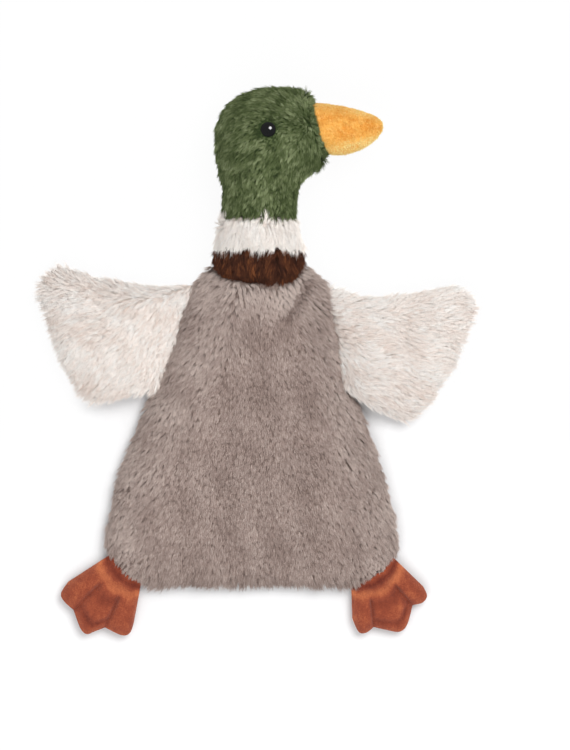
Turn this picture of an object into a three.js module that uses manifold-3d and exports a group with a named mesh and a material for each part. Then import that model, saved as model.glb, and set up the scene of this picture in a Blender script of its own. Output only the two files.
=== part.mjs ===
// Plush duck comforter, lying flat on its back as it is laid out on a table.
// Millimetres. X runs across the wings, Y from the hem up to the head, Z up from the table.
// The origin is on the flat back of the body, midway between the neckline and the hem.
// Left and right are as seen from above. Front faces up, back faces the table.
import * as THREE from 'three';
import { mergeVertices } from 'three/addons/utils/BufferGeometryUtils.js';
import Module from 'manifold-3d';

// Cloth, seams and stuffing
const PLUSH = 3.2; // long pile cloth, pile pressed
const VELOUR = 1.8; // short pile cloth of the bill
const SUEDE = 1.4; // napped cloth of the feet
const SEAM_LIP = 0.35; // one layer of cloth where a seam pinches it
const PILLOW_STEPS = [0.14, 0.3, 0.56]; // rings of a stuffed form, as shares of the way to its middle
const STEP_APART = 1.25; // least ratio of two neighbouring steps
const SEAM_GAP = 0.3; // clearance between two sewn pieces
const FLEX_GAP = 0.9; // clearance along a seam that a limb swings on
const FILL_GAP = 0.3; // clearance between stuffing and its cover
const FILL_EDGE = 0.4; // half thickness of stuffing at its edge

// Body, sizes from its middle line
const HEM_DROP = 94.5; // origin down to the hem
const HEM_HALF = 88;
const HEM_CORNER = 24; // radius of the two lower corners
const FLARE_HALF = 81.5;
const FLARE_DROP = 34;
const HIP_HALF = 70;
const WING_LOW_HALF = 59; // half width where the wing seams end
const WING_LOW_RISE = 25;
const WING_TOP_HALF = 40; // half width where the wing seams start
const WING_TOP_RISE = 87;
const BODY_FILL = 11; // stuffing above and below the side seam
const BODY_PUFF = 4; // power of the edge curve, higher is boxier
const NECK_LIFT = 0.35; // extra swell of the front towards the neckline
const LIFT_START = 20;

// Neck, from the hinge line where it is sewn into the body up to the head
const NECK_SHIFT = 4.2; // neck middle to the right of the hem middle
const NECK_HINGE_RISE = 102;
const NECK_HALF = 28.6; // half width at the hinge
const NECK_DEPTH = 15; // half depth at the hinge
const NECK_LENGTH = 25.2; // hinge to the head seam
const NECK_TOP_HALF = 23.6;
const NECK_TOP_DEPTH = 19;
const BAND_LENGTH = 7.2; // chest band above the hinge line, the rest is the ring
const NECK_CLEAR = 1; // hinge end of the neck above the table
const NECK_CAP = 14; // cloth of the body that the neckline cuts away above the hinge
const CAP_CORNER = [0.65, 0.7]; // shoulder of that cloth, as shares of its half width and height

// Head, its edge from nape to throat, forward and up from the neck middle at the head seam
const HEAD_EDGE = [
  [-23.4, 14], [-25.5, 27], [-27.6, 43], [-25.5, 60], [-17, 71.5], [-4, 77], [8, 79.4], [22, 78.2],
  [32, 73.5], [39, 63], [43, 50], [42.5, 38], [37, 29.5], [27.5, 21.5], [23, 13],
];
const HEAD_MIDDLE = [6, 44];
const HEAD_FILL = 21;
const HEAD_PUFF = 3.2;
const HEAD_STUB = 27; // cloth of the head that the head seam cuts away

// Bill, its edge from top root over the tip to bottom root, from the same point as the head
const BILL_EDGE = [
  [30, 70.5], [43.2, 68.2], [56.4, 65.2], [67.8, 61.2], [74.1, 55.2],
  [67.8, 46.8], [58.8, 41.6], [50.4, 38.8], [42, 37.9], [34, 39],
];
const BILL_MIDDLE = [42, 54];
const BILL_FILL = 8;
const BILL_PUFF = 2.6;

// Safety eyes, one on each side of the head
const EYE_PLACE = [5.7, 51.3]; // forward and up from the neck middle at the head seam
const EYE_RADIUS = 4.4;
const EYE_DOME = 3.2;
const EYE_SINK = 2.2; // flange below the pile
const EYE_FLANGE = 0.8; // straight rim below the dome
const POST_RADIUS = 1.6;
const POST_LENGTH = 7;
const WASHER_RADIUS = 5.5;
const WASHER_THICK = 1.2;

// Wings, their edge from the top of the seam to its bottom, outward and up from the seam middle
const WING_EDGE = [
  [18, 22.5], [40, 17], [62, 15.5], [76.5, 12], [83.5, -4], [71, -22],
  [57.5, -39], [43.5, -51.5], [29, -58.5], [14, -50],
];
const LEFT_WING_RISE = 2; // how far each wing is laid up along its seam
const RIGHT_WING_RISE = -2.3;
const WING_MIDDLE = [38, -14];
const WING_FILL = 4; // stuffing above the side seam
const WING_BACK_FILL = 2.4; // stuffing below the side seam
const WING_PUFF = 3;

// Webbed feet, each turned about the middle of the hem corner that carries it
const LEFT_FOOT_TURN = 41.5; // away from straight down, in degrees
const LEFT_FOOT_SPREAD = 34; // half the angle that the seam takes, in degrees
const RIGHT_FOOT_TURN = 30; // in degrees too
const RIGHT_FOOT_SPREAD = 40; // in degrees too
// Edges of the outer, middle and inner toe, outward across the foot and down along it from that middle
const LEFT_TOES = [
  [[21.1, 46.3], [19.8, 54.3], [15.4, 56.8], [7.4, 57]],
  [[7.4, 57], [-2.9, 62.5], [-8.1, 62.6], [-10.4, 58.6], [-13.7, 52.3]],
  [[-13.7, 52.3], [-24.2, 49.2], [-27.1, 44.9], [-24.7, 38.5]],
];
const RIGHT_TOES = [
  [[21.9, 40], [21.1, 45.8], [16.7, 48.1], [10.7, 46.4]],
  [[10.7, 46.4], [2.1, 54.9], [-4.1, 56.3], [-10.5, 51.3], [-16.1, 46.1]],
  [[-16.1, 46.1], [-21.8, 46.8], [-25.4, 44], [-24.7, 35.2]],
];
const TOE_CHANNEL = 0.34; // share of the swell that a stitched channel takes away
const CHANNEL_PLACE = 0.35; // each channel and notch, as a share of half the foot
const CHANNEL_WIDTH = 0.09; // in the same shares
const CHANNEL_START = 0.1; // share of the way from seam to toes at which a channel starts
const CHANNEL_FULL = 0.52; // share at which it is at its deepest
const FOOT_FILL = 2.4;

// Values worked out from the sizes above
const LIP = SEAM_GAP / 2 + SEAM_LIP;
const swellOf = (wall, fill) => wall - SEAM_LIP + FILL_GAP + fill;
const SEAM_Z = LIP + swellOf(PLUSH, WING_BACK_FILL);
const HEAD_SEAM_Z = LIP + swellOf(PLUSH, HEAD_FILL) + EYE_DOME - EYE_SINK;
const HINGE_Z = NECK_DEPTH + NECK_CLEAR;
const HEAD_SEAM_RISE = NECK_HINGE_RISE + NECK_LENGTH;
const BAND_TOP = NECK_HINGE_RISE + BAND_LENGTH;
const OUTSIDE = 4 * (HEM_DROP + HEAD_SEAM_RISE); // cutting blocks reach past the whole toy
const NECK_SIDES = 24;

const wasm = await Module();
wasm.setup();
const duck = new THREE.Group();

// Materials
const cloth = (color, roughness) => new THREE.MeshStandardMaterial({ color, roughness, metalness: 0 });
const taupePlush = () => cloth(0x98877f, 0.95);
const creamPlush = () => cloth(0xe8dbd3, 0.95);
const whitePlush = () => cloth(0xece2db, 0.95);
const brownPlush = () => cloth(0x482b1f, 0.95);
const greenPlush = () => cloth(0x556040, 0.95);
const yellowVelour = () => cloth(0xf0b35d, 0.9);
const rustSuede = () => cloth(0x9d533d, 0.9);
const stuffing = () => cloth(0xf4f2ee, 1);
const blackPlastic = () => cloth(0x0a0a0a, 0.08);
const clearPlastic = () => cloth(0xd8d8d4, 0.4);

// Closed solids from points and triangles, turned so that their faces point out
function closedGeometry(points, faces) {
  const geometry = new THREE.BufferGeometry();
  let volume = 0;
  for (let i = 0; i < faces.length; i += 3) {
    const [a, b, c] = [points[faces[i]], points[faces[i + 1]], points[faces[i + 2]]];
    volume += a.dot(b.clone().cross(c));
  }
  const index = volume < 0 ? faces.slice().reverse() : faces;
  geometry.setAttribute('position', new THREE.Float32BufferAttribute(points.flatMap((p) => p.toArray()), 3));
  geometry.setIndex(index);
  return geometry;
}

// A chain of rings with equal counts of points, closed by a point at each end.
// The first rings, up to the turn, have their squares split the other way, so that a surface
// that runs in from the edge matches one that runs out to it.
function ringSolid(start, rings, end, turn = 0) {
  const count = rings[0].length;
  const points = [start, ...rings.flat(), end];
  const last = points.length - 1;
  const at = (ring, i) => 1 + ring * count + (i % count);
  const faces = [];
  for (let i = 0; i < count; i += 1) {
    faces.push(0, at(0, i), at(0, i + 1));
    for (let ring = 1; ring < rings.length; ring += 1) {
      const shift = ring < turn ? 1 : 0;
      faces.push(at(ring - 1, i), at(ring, i), at(ring - shift, i + 1));
      faces.push(at(ring - 1 + shift, i), at(ring, i + 1), at(ring - 1, i + 1));
    }
    faces.push(last, at(rings.length - 1, i + 1), at(rings.length - 1, i));
  }
  return closedGeometry(points, faces);
}

// A chain of rings that closes on itself, such as a sleeve
function ringLoop(rings) {
  const count = rings[0].length;
  const at = (ring, i) => (ring % rings.length) * count + (i % count);
  const faces = [];
  for (let ring = 0; ring < rings.length; ring += 1) {
    for (let i = 0; i < count; i += 1) {
      faces.push(at(ring, i), at(ring + 1, i), at(ring + 1, i + 1));
      faces.push(at(ring, i), at(ring + 1, i + 1), at(ring, i + 1));
    }
  }
  return closedGeometry(rings.flat(), faces);
}

// Two grids of points over the same outline, one above the other, joined round their edge
function patchSolid(top, bottom) {
  const rows = top.length;
  const columns = top[0].length;
  const points = [...top.flat(), ...bottom.flat()];
  const upper = (i, j) => i * columns + j;
  const lower = (i, j) => rows * columns + upper(i, j);
  const faces = [];
  const quad = (a, b, c, d) => faces.push(a, b, c, a, c, d);
  for (let i = 0; i + 1 < rows; i += 1) {
    for (let j = 0; j + 1 < columns; j += 1) {
      quad(upper(i, j), upper(i + 1, j), upper(i + 1, j + 1), upper(i, j + 1));
      quad(lower(i, j + 1), lower(i + 1, j + 1), lower(i + 1, j), lower(i, j));
    }
    quad(upper(i, 0), lower(i, 0), lower(i + 1, 0), upper(i + 1, 0));
    quad(upper(i + 1, columns - 1), lower(i + 1, columns - 1), lower(i, columns - 1), upper(i, columns - 1));
  }
  for (let j = 0; j + 1 < columns; j += 1) {
    quad(upper(0, j + 1), lower(0, j + 1), lower(0, j), upper(0, j));
    quad(upper(rows - 1, j), lower(rows - 1, j), lower(rows - 1, j + 1), upper(rows - 1, j + 1));
  }
  return closedGeometry(points, faces);
}

// Booleans
function solidFrom(geometry) {
  const bare = geometry.clone();
  bare.deleteAttribute('normal');
  bare.deleteAttribute('uv');
  const merged = mergeVertices(bare);
  const vertProperties = new Float32Array(merged.attributes.position.array);
  const triVerts = new Uint32Array(merged.index.array);
  return new wasm.Manifold(new wasm.Mesh({ numProp: 3, vertProperties, triVerts }));
}

function geometryFrom(solid) {
  const mesh = solid.getMesh();
  const geometry = new THREE.BufferGeometry();
  geometry.setAttribute('position', new THREE.Float32BufferAttribute(mesh.vertProperties, 3));
  geometry.setIndex([...mesh.triVerts]);
  return geometry;
}

function cut(geometry, ...tools) {
  return geometryFrom(tools.reduce((solid, tool) => solid.subtract(solidFrom(tool)), solidFrom(geometry)));
}

// A disc or post standing on height z, reaching up by the given length, or down if that is negative
function post(x, y, z, radius, length) {
  const geometry = new THREE.CylinderGeometry(radius, radius, Math.abs(length), 16);
  geometry.rotateX(Math.PI / 2);
  geometry.translate(x, y, z + length / 2);
  return geometry;
}

function addPiece(parent, name, geometry, material) {
  const mesh = new THREE.Mesh(geometry, material);
  mesh.name = name;
  parent.add(mesh);
}

const vectors = (pairs) => pairs.map(([x, y]) => new THREE.Vector2(x, y));
const nextOf = (points, i) => points[(i + 1) % points.length];
const distinct = (points) => points.filter((p, i) => p.distanceTo(nextOf(points, i)) > SEAM_GAP);

// A stuffed form of two cloth halves sewn round one flat outline, with its stuffing inside
class Pillow {
  constructor(sizes) {
    const { outline, middle, seamZ, wall, fill, puff } = sizes;
    const { backFill = fill, restZ = -OUTSIDE, lift = () => 1 } = sizes;
    Object.assign(this, { outline, middle, seamZ, wall, puff, restZ, lift });
    this.frontSwell = swellOf(wall, fill);
    this.backSwell = swellOf(wall, backFill);
    const thin = Math.min(this.frontSwell, this.backSwell);
    const open = this.stepWhere((wall - SEAM_LIP) / thin);
    this.fillStep = this.stepWhere((wall - SEAM_LIP + FILL_GAP + FILL_EDGE) / thin);
    const flat = this.stepWhere((seamZ - LIP - restZ) / this.backSwell);
    const inner = PILLOW_STEPS.filter((t) => t > this.fillStep * STEP_APART);
    this.steps = [0, open, this.fillStep, ...inner];
    if (flat > this.fillStep && flat < 1) {
      this.steps = [...this.steps.filter((t) => t <= this.fillStep || t > flat * STEP_APART), flat];
      this.steps.sort((a, b) => a - b);
    }
  }

  // Share of the way from edge to middle at which the swell reaches a share of its full height
  stepWhere(share) {
    return share >= 1 ? 1 : 1 - (1 - share) ** (1 / this.puff);
  }

  swell(t) {
    return 1 - (1 - t) ** this.puff;
  }

  front(t, place) {
    return this.seamZ + LIP + this.frontSwell * this.swell(t) * this.lift(place);
  }

  frontInside(t, place) {
    return Math.max(this.seamZ + SEAM_GAP / 2, this.front(t, place) - this.wall);
  }

  back(t) {
    return Math.max(this.restZ, this.seamZ - LIP - this.backSwell * this.swell(t));
  }

  backInside(t) {
    return Math.min(this.seamZ - SEAM_GAP / 2, this.back(t) + this.wall);
  }

  // Height of the front above one place, or depth of the back below it
  reach(x, y) {
    const place = new THREE.Vector2(x, y);
    const away = place.clone().sub(this.middle);
    const crossed = this.outline.map((a, i) => {
      const edge = nextOf(this.outline, i).clone().sub(a);
      const across = away.cross(edge);
      const start = a.clone().sub(this.middle);
      return { along: start.cross(edge) / across, share: start.cross(away) / across };
    });
    const hit = crossed.find(({ along, share }) => along > 0 && share >= 0 && share <= 1);
    const t = 1 - 1 / hit.along;
    return { front: this.front(t, place), back: this.back(t) };
  }

  // One surface as rings from the first step on, and its middle point
  surface(height, first = 0, grow = 0) {
    const steps = this.steps.filter((t) => t >= first);
    const scale = 1 + grow / Math.min(...this.outline.map((p) => p.distanceTo(this.middle)));
    const rings = steps.map((t) => this.outline.map((p) => {
      const place = this.middle.clone().lerp(p, (1 - t) * scale);
      return new THREE.Vector3(place.x, place.y, height(t, place));
    }));
    const pole = new THREE.Vector3(this.middle.x, this.middle.y, height(1, this.middle));
    return { rings, pole };
  }

  between(upper, lower) {
    const rings = [...upper.rings.reverse(), ...lower.rings];
    return ringSolid(upper.pole, rings, lower.pole, upper.rings.length);
  }

  frontPanel() {
    return this.between(
      this.surface((t, p) => this.front(t, p)),
      this.surface((t, p) => this.frontInside(t, p)),
    );
  }

  backPanel() {
    return this.between(this.surface((t) => this.backInside(t)), this.surface((t) => this.back(t)));
  }

  filling() {
    return this.between(
      this.surface((t, p) => this.frontInside(t, p) - FILL_GAP, this.fillStep),
      this.surface((t) => this.backInside(t) + FILL_GAP, this.fillStep),
    );
  }

  // The whole form grown by a clearance, to cut its neighbours with
  envelope(clearance) {
    return this.between(
      this.surface((t, p) => this.front(t, p) + clearance, 0, clearance),
      this.surface((t) => this.back(t) - clearance, 0, clearance),
    );
  }
}

// Neck sections, ellipses across Y, drawn in by an inset
function neckRing(y, inset) {
  const share = (y - NECK_HINGE_RISE) / NECK_LENGTH;
  const below = Math.min(0, y - NECK_HINGE_RISE) / (NECK_DEPTH - inset);
  const round = Math.sqrt(Math.max(0, 1 - below * below));
  const up = Math.max(0, share);
  const half = (THREE.MathUtils.lerp(NECK_HALF, NECK_TOP_HALF, up) - inset) * round;
  const depth = (THREE.MathUtils.lerp(NECK_DEPTH, NECK_TOP_DEPTH, up) - inset) * round;
  const z = THREE.MathUtils.lerp(HINGE_Z, HEAD_SEAM_Z, up);
  return Array.from({ length: NECK_SIDES }, (_, i) => {
    const turn = (i / NECK_SIDES) * 2 * Math.PI;
    return new THREE.Vector3(NECK_SHIFT + half * Math.cos(turn), y, z + depth * Math.sin(turn));
  });
}

// Rings of the rounded lower end, from its pole up to just below the hinge line
function neckEnd(inset) {
  const turns = [75, 52, 30, 12].map(THREE.MathUtils.degToRad);
  const radius = NECK_DEPTH - inset;
  const rings = turns.map((turn) => neckRing(NECK_HINGE_RISE - radius * Math.sin(turn), inset));
  const pole = new THREE.Vector3(NECK_SHIFT, NECK_HINGE_RISE - radius, HINGE_Z);
  return { rings, pole };
}

function buildNeck() {
  const neck = new THREE.Group();
  const seam = SEAM_GAP / 2;
  const skin = neckEnd(0);
  const lining = neckEnd(PLUSH);
  const core = neckEnd(PLUSH + FILL_GAP);
  const bandTop = BAND_TOP - seam;
  const ringBottom = BAND_TOP + seam;
  const ringTop = HEAD_SEAM_RISE - seam;
  const bandRings = [
    ...skin.rings,
    neckRing(NECK_HINGE_RISE, 0),
    neckRing(bandTop, 0),
    neckRing(bandTop, PLUSH),
    neckRing(NECK_HINGE_RISE, PLUSH),
    ...lining.rings.reverse(),
  ];
  addPiece(neck, 'chest_band', ringSolid(skin.pole, bandRings, lining.pole), brownPlush());
  const ringMiddle = (ringBottom + ringTop) / 2;
  const ringRings = [
    neckRing(ringBottom, 0),
    neckRing(ringMiddle, 0),
    neckRing(ringTop, 0),
    neckRing(ringTop, PLUSH),
    neckRing(ringMiddle, PLUSH),
    neckRing(ringBottom, PLUSH),
  ];
  addPiece(neck, 'neck_ring', ringLoop(ringRings), whitePlush());
  const inset = PLUSH + FILL_GAP;
  const coreRings = [...core.rings, ...[NECK_HINGE_RISE, BAND_TOP, ringTop].map((y) => neckRing(y, inset))];
  const coreTop = new THREE.Vector3(NECK_SHIFT, ringTop, HEAD_SEAM_Z);
  addPiece(neck, 'neck_filling', ringSolid(core.pole, coreRings, coreTop), stuffing());
  return neck;
}

// Body
const centreLine = (y) => {
  const share = (y - WING_LOW_RISE) / (WING_TOP_RISE - WING_LOW_RISE);
  return NECK_SHIFT * THREE.MathUtils.clamp(share, 0, 1);
};
const bodyPoint = (side, half, y) => new THREE.Vector2(centreLine(y) + side * half, y);

// One side of the body from the cap inside the neckline down to the middle of the hem
function bodySide(side) {
  const at = (half, y) => bodyPoint(side, half, y);
  const corner = new THREE.Vector2(side * (HEM_HALF - HEM_CORNER), HEM_CORNER - HEM_DROP);
  const shoulder = new THREE.SplineCurve([
    at(0, NECK_HINGE_RISE + NECK_CAP),
    at(NECK_HALF * CAP_CORNER[0], NECK_HINGE_RISE + NECK_CAP * CAP_CORNER[1]),
    at(NECK_HALF, (NECK_HINGE_RISE * 3 + WING_TOP_RISE) / 4),
    at(WING_TOP_HALF, WING_TOP_RISE),
  ]);
  const wingSeam = new THREE.LineCurve(at(WING_TOP_HALF, WING_TOP_RISE), at(WING_LOW_HALF, WING_LOW_RISE));
  const flare = new THREE.SplineCurve([
    at(WING_LOW_HALF, WING_LOW_RISE),
    at(HIP_HALF, 0),
    at(FLARE_HALF, -FLARE_DROP),
    at(HEM_HALF, HEM_CORNER - HEM_DROP),
  ]);
  const turn = new THREE.EllipseCurve(corner.x, corner.y, HEM_CORNER, HEM_CORNER, 0, -Math.PI / 2, true);
  const round = turn.getPoints(6).map((p) => new THREE.Vector2(corner.x + side * (p.x - corner.x), p.y));
  const hem = new THREE.LineCurve(round[round.length - 1], at(0, -HEM_DROP));
  const upper = [...shoulder.getPoints(6), ...wingSeam.getPoints(3)];
  return [...upper, ...flare.getPoints(6), ...round, ...hem.getPoints(2)];
}

// The opening that the neck is sewn into: everything above a half ellipse round the hinge line
function neckline(clearance) {
  const shape = new THREE.Shape();
  const half = NECK_HALF + clearance;
  shape.moveTo(NECK_SHIFT - half, OUTSIDE);
  shape.lineTo(NECK_SHIFT - half, NECK_HINGE_RISE);
  shape.absellipse(NECK_SHIFT, NECK_HINGE_RISE, half, NECK_DEPTH + clearance, Math.PI, 2 * Math.PI, false);
  shape.lineTo(NECK_SHIFT + half, OUTSIDE);
  const settings = { depth: OUTSIDE, bevelEnabled: false, curveSegments: 14 };
  const geometry = new THREE.ExtrudeGeometry(shape, settings);
  geometry.translate(0, 0, -OUTSIDE / 2);
  return geometry;
}

function buildBody() {
  const body = new THREE.Group();
  const outline = distinct([...bodySide(1), ...bodySide(-1).reverse()]);
  const pillow = new Pillow({
    outline,
    middle: new THREE.Vector2(0, 0),
    seamZ: SEAM_Z,
    wall: PLUSH,
    fill: BODY_FILL,
    puff: BODY_PUFF,
    restZ: 0,
    lift: (place) => 1 + NECK_LIFT * THREE.MathUtils.smoothstep(place.y, LIFT_START, WING_TOP_RISE),
  });
  const opening = neckline(SEAM_GAP);
  addPiece(body, 'body_front_panel', cut(pillow.frontPanel(), opening), taupePlush());
  addPiece(body, 'body_back_panel', cut(pillow.backPanel(), opening), taupePlush());
  addPiece(body, 'body_filling', cut(pillow.filling(), neckline(SEAM_GAP + FILL_GAP)), stuffing());
  return body;
}

// A wing lies in its own group, with X outward and Y up along the seam that it swings on
function buildWing(name, side, rise) {
  const wing = new THREE.Group();
  const top = bodyPoint(side, WING_TOP_HALF, WING_TOP_RISE);
  const low = bodyPoint(side, WING_LOW_HALF, WING_LOW_RISE);
  const seam = top.clone().sub(low);
  const half = seam.length() / 2;
  const laid = WING_EDGE.map(([out, up]) => [out, up + rise]);
  const edge = new THREE.SplineCurve(vectors([[0, half], ...laid, [0, -half]])).getPoints(26);
  const root = new THREE.LineCurve(edge[edge.length - 1], edge[0]).getPoints(4);
  const outline = distinct([...edge, ...root]).map((p) => new THREE.Vector2(side * p.x, p.y));
  const pillow = new Pillow({
    outline,
    middle: new THREE.Vector2(side * WING_MIDDLE[0], WING_MIDDLE[1]),
    seamZ: SEAM_Z,
    wall: PLUSH,
    fill: WING_FILL,
    backFill: WING_BACK_FILL,
    puff: WING_PUFF,
  });
  wing.rotation.z = seam.angle() - Math.PI / 2;
  const outward = new THREE.Vector2(side, 0).rotateAround(new THREE.Vector2(), wing.rotation.z);
  const place = low.clone().addScaledVector(seam, 0.5).addScaledVector(outward, FLEX_GAP);
  wing.position.set(place.x, place.y, 0);
  addPiece(wing, `${name}_front_panel`, pillow.frontPanel(), creamPlush());
  addPiece(wing, `${name}_back_panel`, pillow.backPanel(), creamPlush());
  addPiece(wing, `${name}_filling`, pillow.filling(), stuffing());
  return wing;
}

// A foot is a patch of straight lines: u runs from the seam to the toes, v across from inner to outer side
const FOOT_ROWS = [0, 0.1, 0.28, 0.52, 0.76, 0.92, 1];
const TOE_STEPS = 5;

// The toe edge as columns, each with its share of half the foot
function footColumns(toes) {
  const ends = [1, CHANNEL_PLACE, -CHANNEL_PLACE, -1];
  const columns = toes.flatMap((edge, toe) => {
    const share = (i) => THREE.MathUtils.lerp(ends[toe], ends[toe + 1], i / TOE_STEPS);
    return new THREE.SplineCurve(vectors(edge)).getPoints(TOE_STEPS).map((tip, i) => ({ tip, v: share(i) }));
  });
  return columns.filter((column, i) => i === 0 || column.v < columns[i - 1].v);
}

function footSwell(u, v) {
  const along = 1 - Math.abs(2 * u - 1) ** 3;
  const across = 1 - v ** 4;
  const near = Math.exp(-(((Math.abs(v) - CHANNEL_PLACE) / CHANNEL_WIDTH) ** 2));
  const channel = 1 - TOE_CHANNEL * near * THREE.MathUtils.smoothstep(u, CHANNEL_START, CHANNEL_FULL);
  return swellOf(SUEDE, FOOT_FILL) * along * across * channel;
}

function buildFoot(name, { side, turn, spread, toes }) {
  const group = new THREE.Group();
  group.position.set(side * (HEM_HALF - HEM_CORNER), HEM_CORNER - HEM_DROP, SEAM_Z);
  group.rotation.z = side * THREE.MathUtils.degToRad(turn);
  const allColumns = footColumns(toes);
  const grid = (rows, columns, height) => rows.map((u) => columns.map(({ tip, v }) => {
    const root = THREE.MathUtils.degToRad(spread * v);
    const start = new THREE.Vector2(Math.sin(root), Math.cos(root)).multiplyScalar(HEM_CORNER + FLEX_GAP);
    const place = start.lerp(tip, u);
    return new THREE.Vector3(side * place.x, -place.y, height(u, v));
  }));
  const outside = (u, v) => LIP + footSwell(u, v);
  const inside = (u, v) => Math.max(SEAM_GAP / 2, outside(u, v) - SUEDE);
  const panel = (way) => patchSolid(
    grid(FOOT_ROWS, allColumns, (u, v) => way * outside(u, v)),
    grid(FOOT_ROWS, allColumns, (u, v) => way * inside(u, v)),
  );
  addPiece(group, `${name}_upper`, panel(1), rustSuede());
  addPiece(group, `${name}_sole`, panel(-1), rustSuede());
  const innerRows = FOOT_ROWS.slice(2, -2);
  const innerColumns = allColumns.slice(2, -2);
  const filling = patchSolid(
    grid(innerRows, innerColumns, (u, v) => inside(u, v) - FILL_GAP),
    grid(innerRows, innerColumns, (u, v) => FILL_GAP - inside(u, v)),
  );
  addPiece(group, `${name}_filling`, filling, stuffing());
  return group;
}

// Head and bill, drawn from the neck middle at the head seam
function headPillow() {
  const seamEnds = [[-NECK_TOP_HALF, 0], [NECK_TOP_HALF, 0]];
  const edge = new THREE.SplineCurve(vectors([seamEnds[0], ...HEAD_EDGE, seamEnds[1]])).getPoints(28);
  const stub = vectors([
    [NECK_TOP_HALF, -HEAD_STUB],
    [0, -HEAD_STUB],
    [-NECK_TOP_HALF, -HEAD_STUB],
  ]);
  return new Pillow({
    outline: distinct([...edge, ...stub]),
    middle: new THREE.Vector2(...HEAD_MIDDLE),
    seamZ: HEAD_SEAM_Z,
    wall: PLUSH,
    fill: HEAD_FILL,
    puff: HEAD_PUFF,
  });
}

function billPillow() {
  const edge = new THREE.SplineCurve(vectors(BILL_EDGE)).getPoints(20);
  const root = new THREE.LineCurve(edge[edge.length - 1], edge[0]).getPoints(3);
  return new Pillow({
    outline: distinct([...edge, ...root]),
    middle: new THREE.Vector2(...BILL_MIDDLE),
    seamZ: HEAD_SEAM_Z,
    wall: VELOUR,
    fill: BILL_FILL,
    puff: BILL_PUFF,
  });
}

// The flat seam across the neck: everything below it
function belowHeadSeam() {
  const block = new THREE.BoxGeometry(OUTSIDE, OUTSIDE, OUTSIDE);
  block.translate(0, SEAM_GAP / 2 - OUTSIDE / 2, 0);
  return block;
}

// A moulded eye: a dome on a flange, with a post pushed through the cloth
function eyeSolid(surface, way) {
  const height = EYE_DOME - EYE_FLANGE;
  const crown = new THREE.EllipseCurve(0, EYE_FLANGE, EYE_RADIUS, height, 0, Math.PI / 2).getPoints(5);
  const profile = [
    new THREE.Vector2(0, -POST_LENGTH),
    new THREE.Vector2(POST_RADIUS, -POST_LENGTH),
    new THREE.Vector2(POST_RADIUS, 0),
    new THREE.Vector2(EYE_RADIUS, 0),
    ...crown.slice(0, -1),
    new THREE.Vector2(0, EYE_DOME),
  ];
  const geometry = new THREE.LatheGeometry(profile, 16);
  geometry.rotateX(way * Math.PI / 2);
  geometry.translate(EYE_PLACE[0], EYE_PLACE[1], surface - way * EYE_SINK);
  return geometry;
}

function washerSolid(top, way) {
  const hole = POST_RADIUS + SEAM_GAP;
  const disc = post(...EYE_PLACE, top, WASHER_RADIUS, -way * WASHER_THICK);
  return cut(disc, post(...EYE_PLACE, top + way * WASHER_THICK, hole, -way * WASHER_THICK * 3));
}

function buildHead() {
  const head = new THREE.Group();
  head.position.set(NECK_SHIFT, HEAD_SEAM_RISE, 0);
  const form = headPillow();
  const panels = { front: form.frontPanel(), back: form.backPanel() };
  const below = belowHeadSeam();
  const deep = POST_LENGTH + EYE_SINK + SEAM_GAP; // stuffing is hollowed below the pile this far
  let filling = cut(form.filling(), below);
  const surfaces = form.reach(...EYE_PLACE);
  for (const [name, way] of [['front', 1], ['back', -1]]) {
    const surface = surfaces[name];
    const seat = surface - way * PLUSH;
    const flange = surface - way * EYE_SINK;
    const pocket = post(...EYE_PLACE, flange - way * SEAM_GAP, EYE_RADIUS + SEAM_GAP, way * OUTSIDE);
    const hole = post(...EYE_PLACE, flange, POST_RADIUS + SEAM_GAP, -way * POST_LENGTH);
    const washerRoom = post(...EYE_PLACE, seat, WASHER_RADIUS + SEAM_GAP, surface - way * deep - seat);
    const panel = cut(panels[name], below, pocket, hole, washerRoom);
    addPiece(head, `head_${name}_panel`, panel, greenPlush());
    addPiece(head, `${name}_eye`, geometryFrom(solidFrom(eyeSolid(surface, way))), blackPlastic());
    addPiece(head, `${name}_eye_washer`, washerSolid(seat - way * SEAM_GAP, way), clearPlastic());
    filling = cut(filling, post(...EYE_PLACE, seat + way * PLUSH, WASHER_RADIUS + SEAM_GAP, -way * deep));
  }
  addPiece(head, 'head_filling', filling, stuffing());
  const bill = billPillow();
  const face = form.envelope(SEAM_GAP);
  addPiece(head, 'bill_front_panel', cut(bill.frontPanel(), face), yellowVelour());
  addPiece(head, 'bill_back_panel', cut(bill.backPanel(), face), yellowVelour());
  addPiece(head, 'bill_filling', cut(bill.filling(), form.envelope(SEAM_GAP + FILL_GAP)), stuffing());
  return head;
}

duck.add(buildBody());
duck.add(buildNeck());
duck.add(buildWing('left_wing', -1, LEFT_WING_RISE));
duck.add(buildWing('right_wing', 1, RIGHT_WING_RISE));
const leftFoot = { side: -1, turn: LEFT_FOOT_TURN, spread: LEFT_FOOT_SPREAD, toes: LEFT_TOES };
const rightFoot = { side: 1, turn: RIGHT_FOOT_TURN, spread: RIGHT_FOOT_SPREAD, toes: RIGHT_TOES };
duck.add(buildFoot('left_foot', leftFoot));
duck.add(buildFoot('right_foot', rightFoot));
duck.add(buildHead());

export default duck;
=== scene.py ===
"""A soft duck comforter that lies on its back: covers, pile, bill, eyes and feet."""

from __future__ import annotations

import logging
import math
from collections.abc import Callable, Sequence
from dataclasses import dataclass, replace
from enum import Enum

import bpy
import numpy as np
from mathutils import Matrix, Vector
from mathutils.bvhtree import BVHTree


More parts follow.
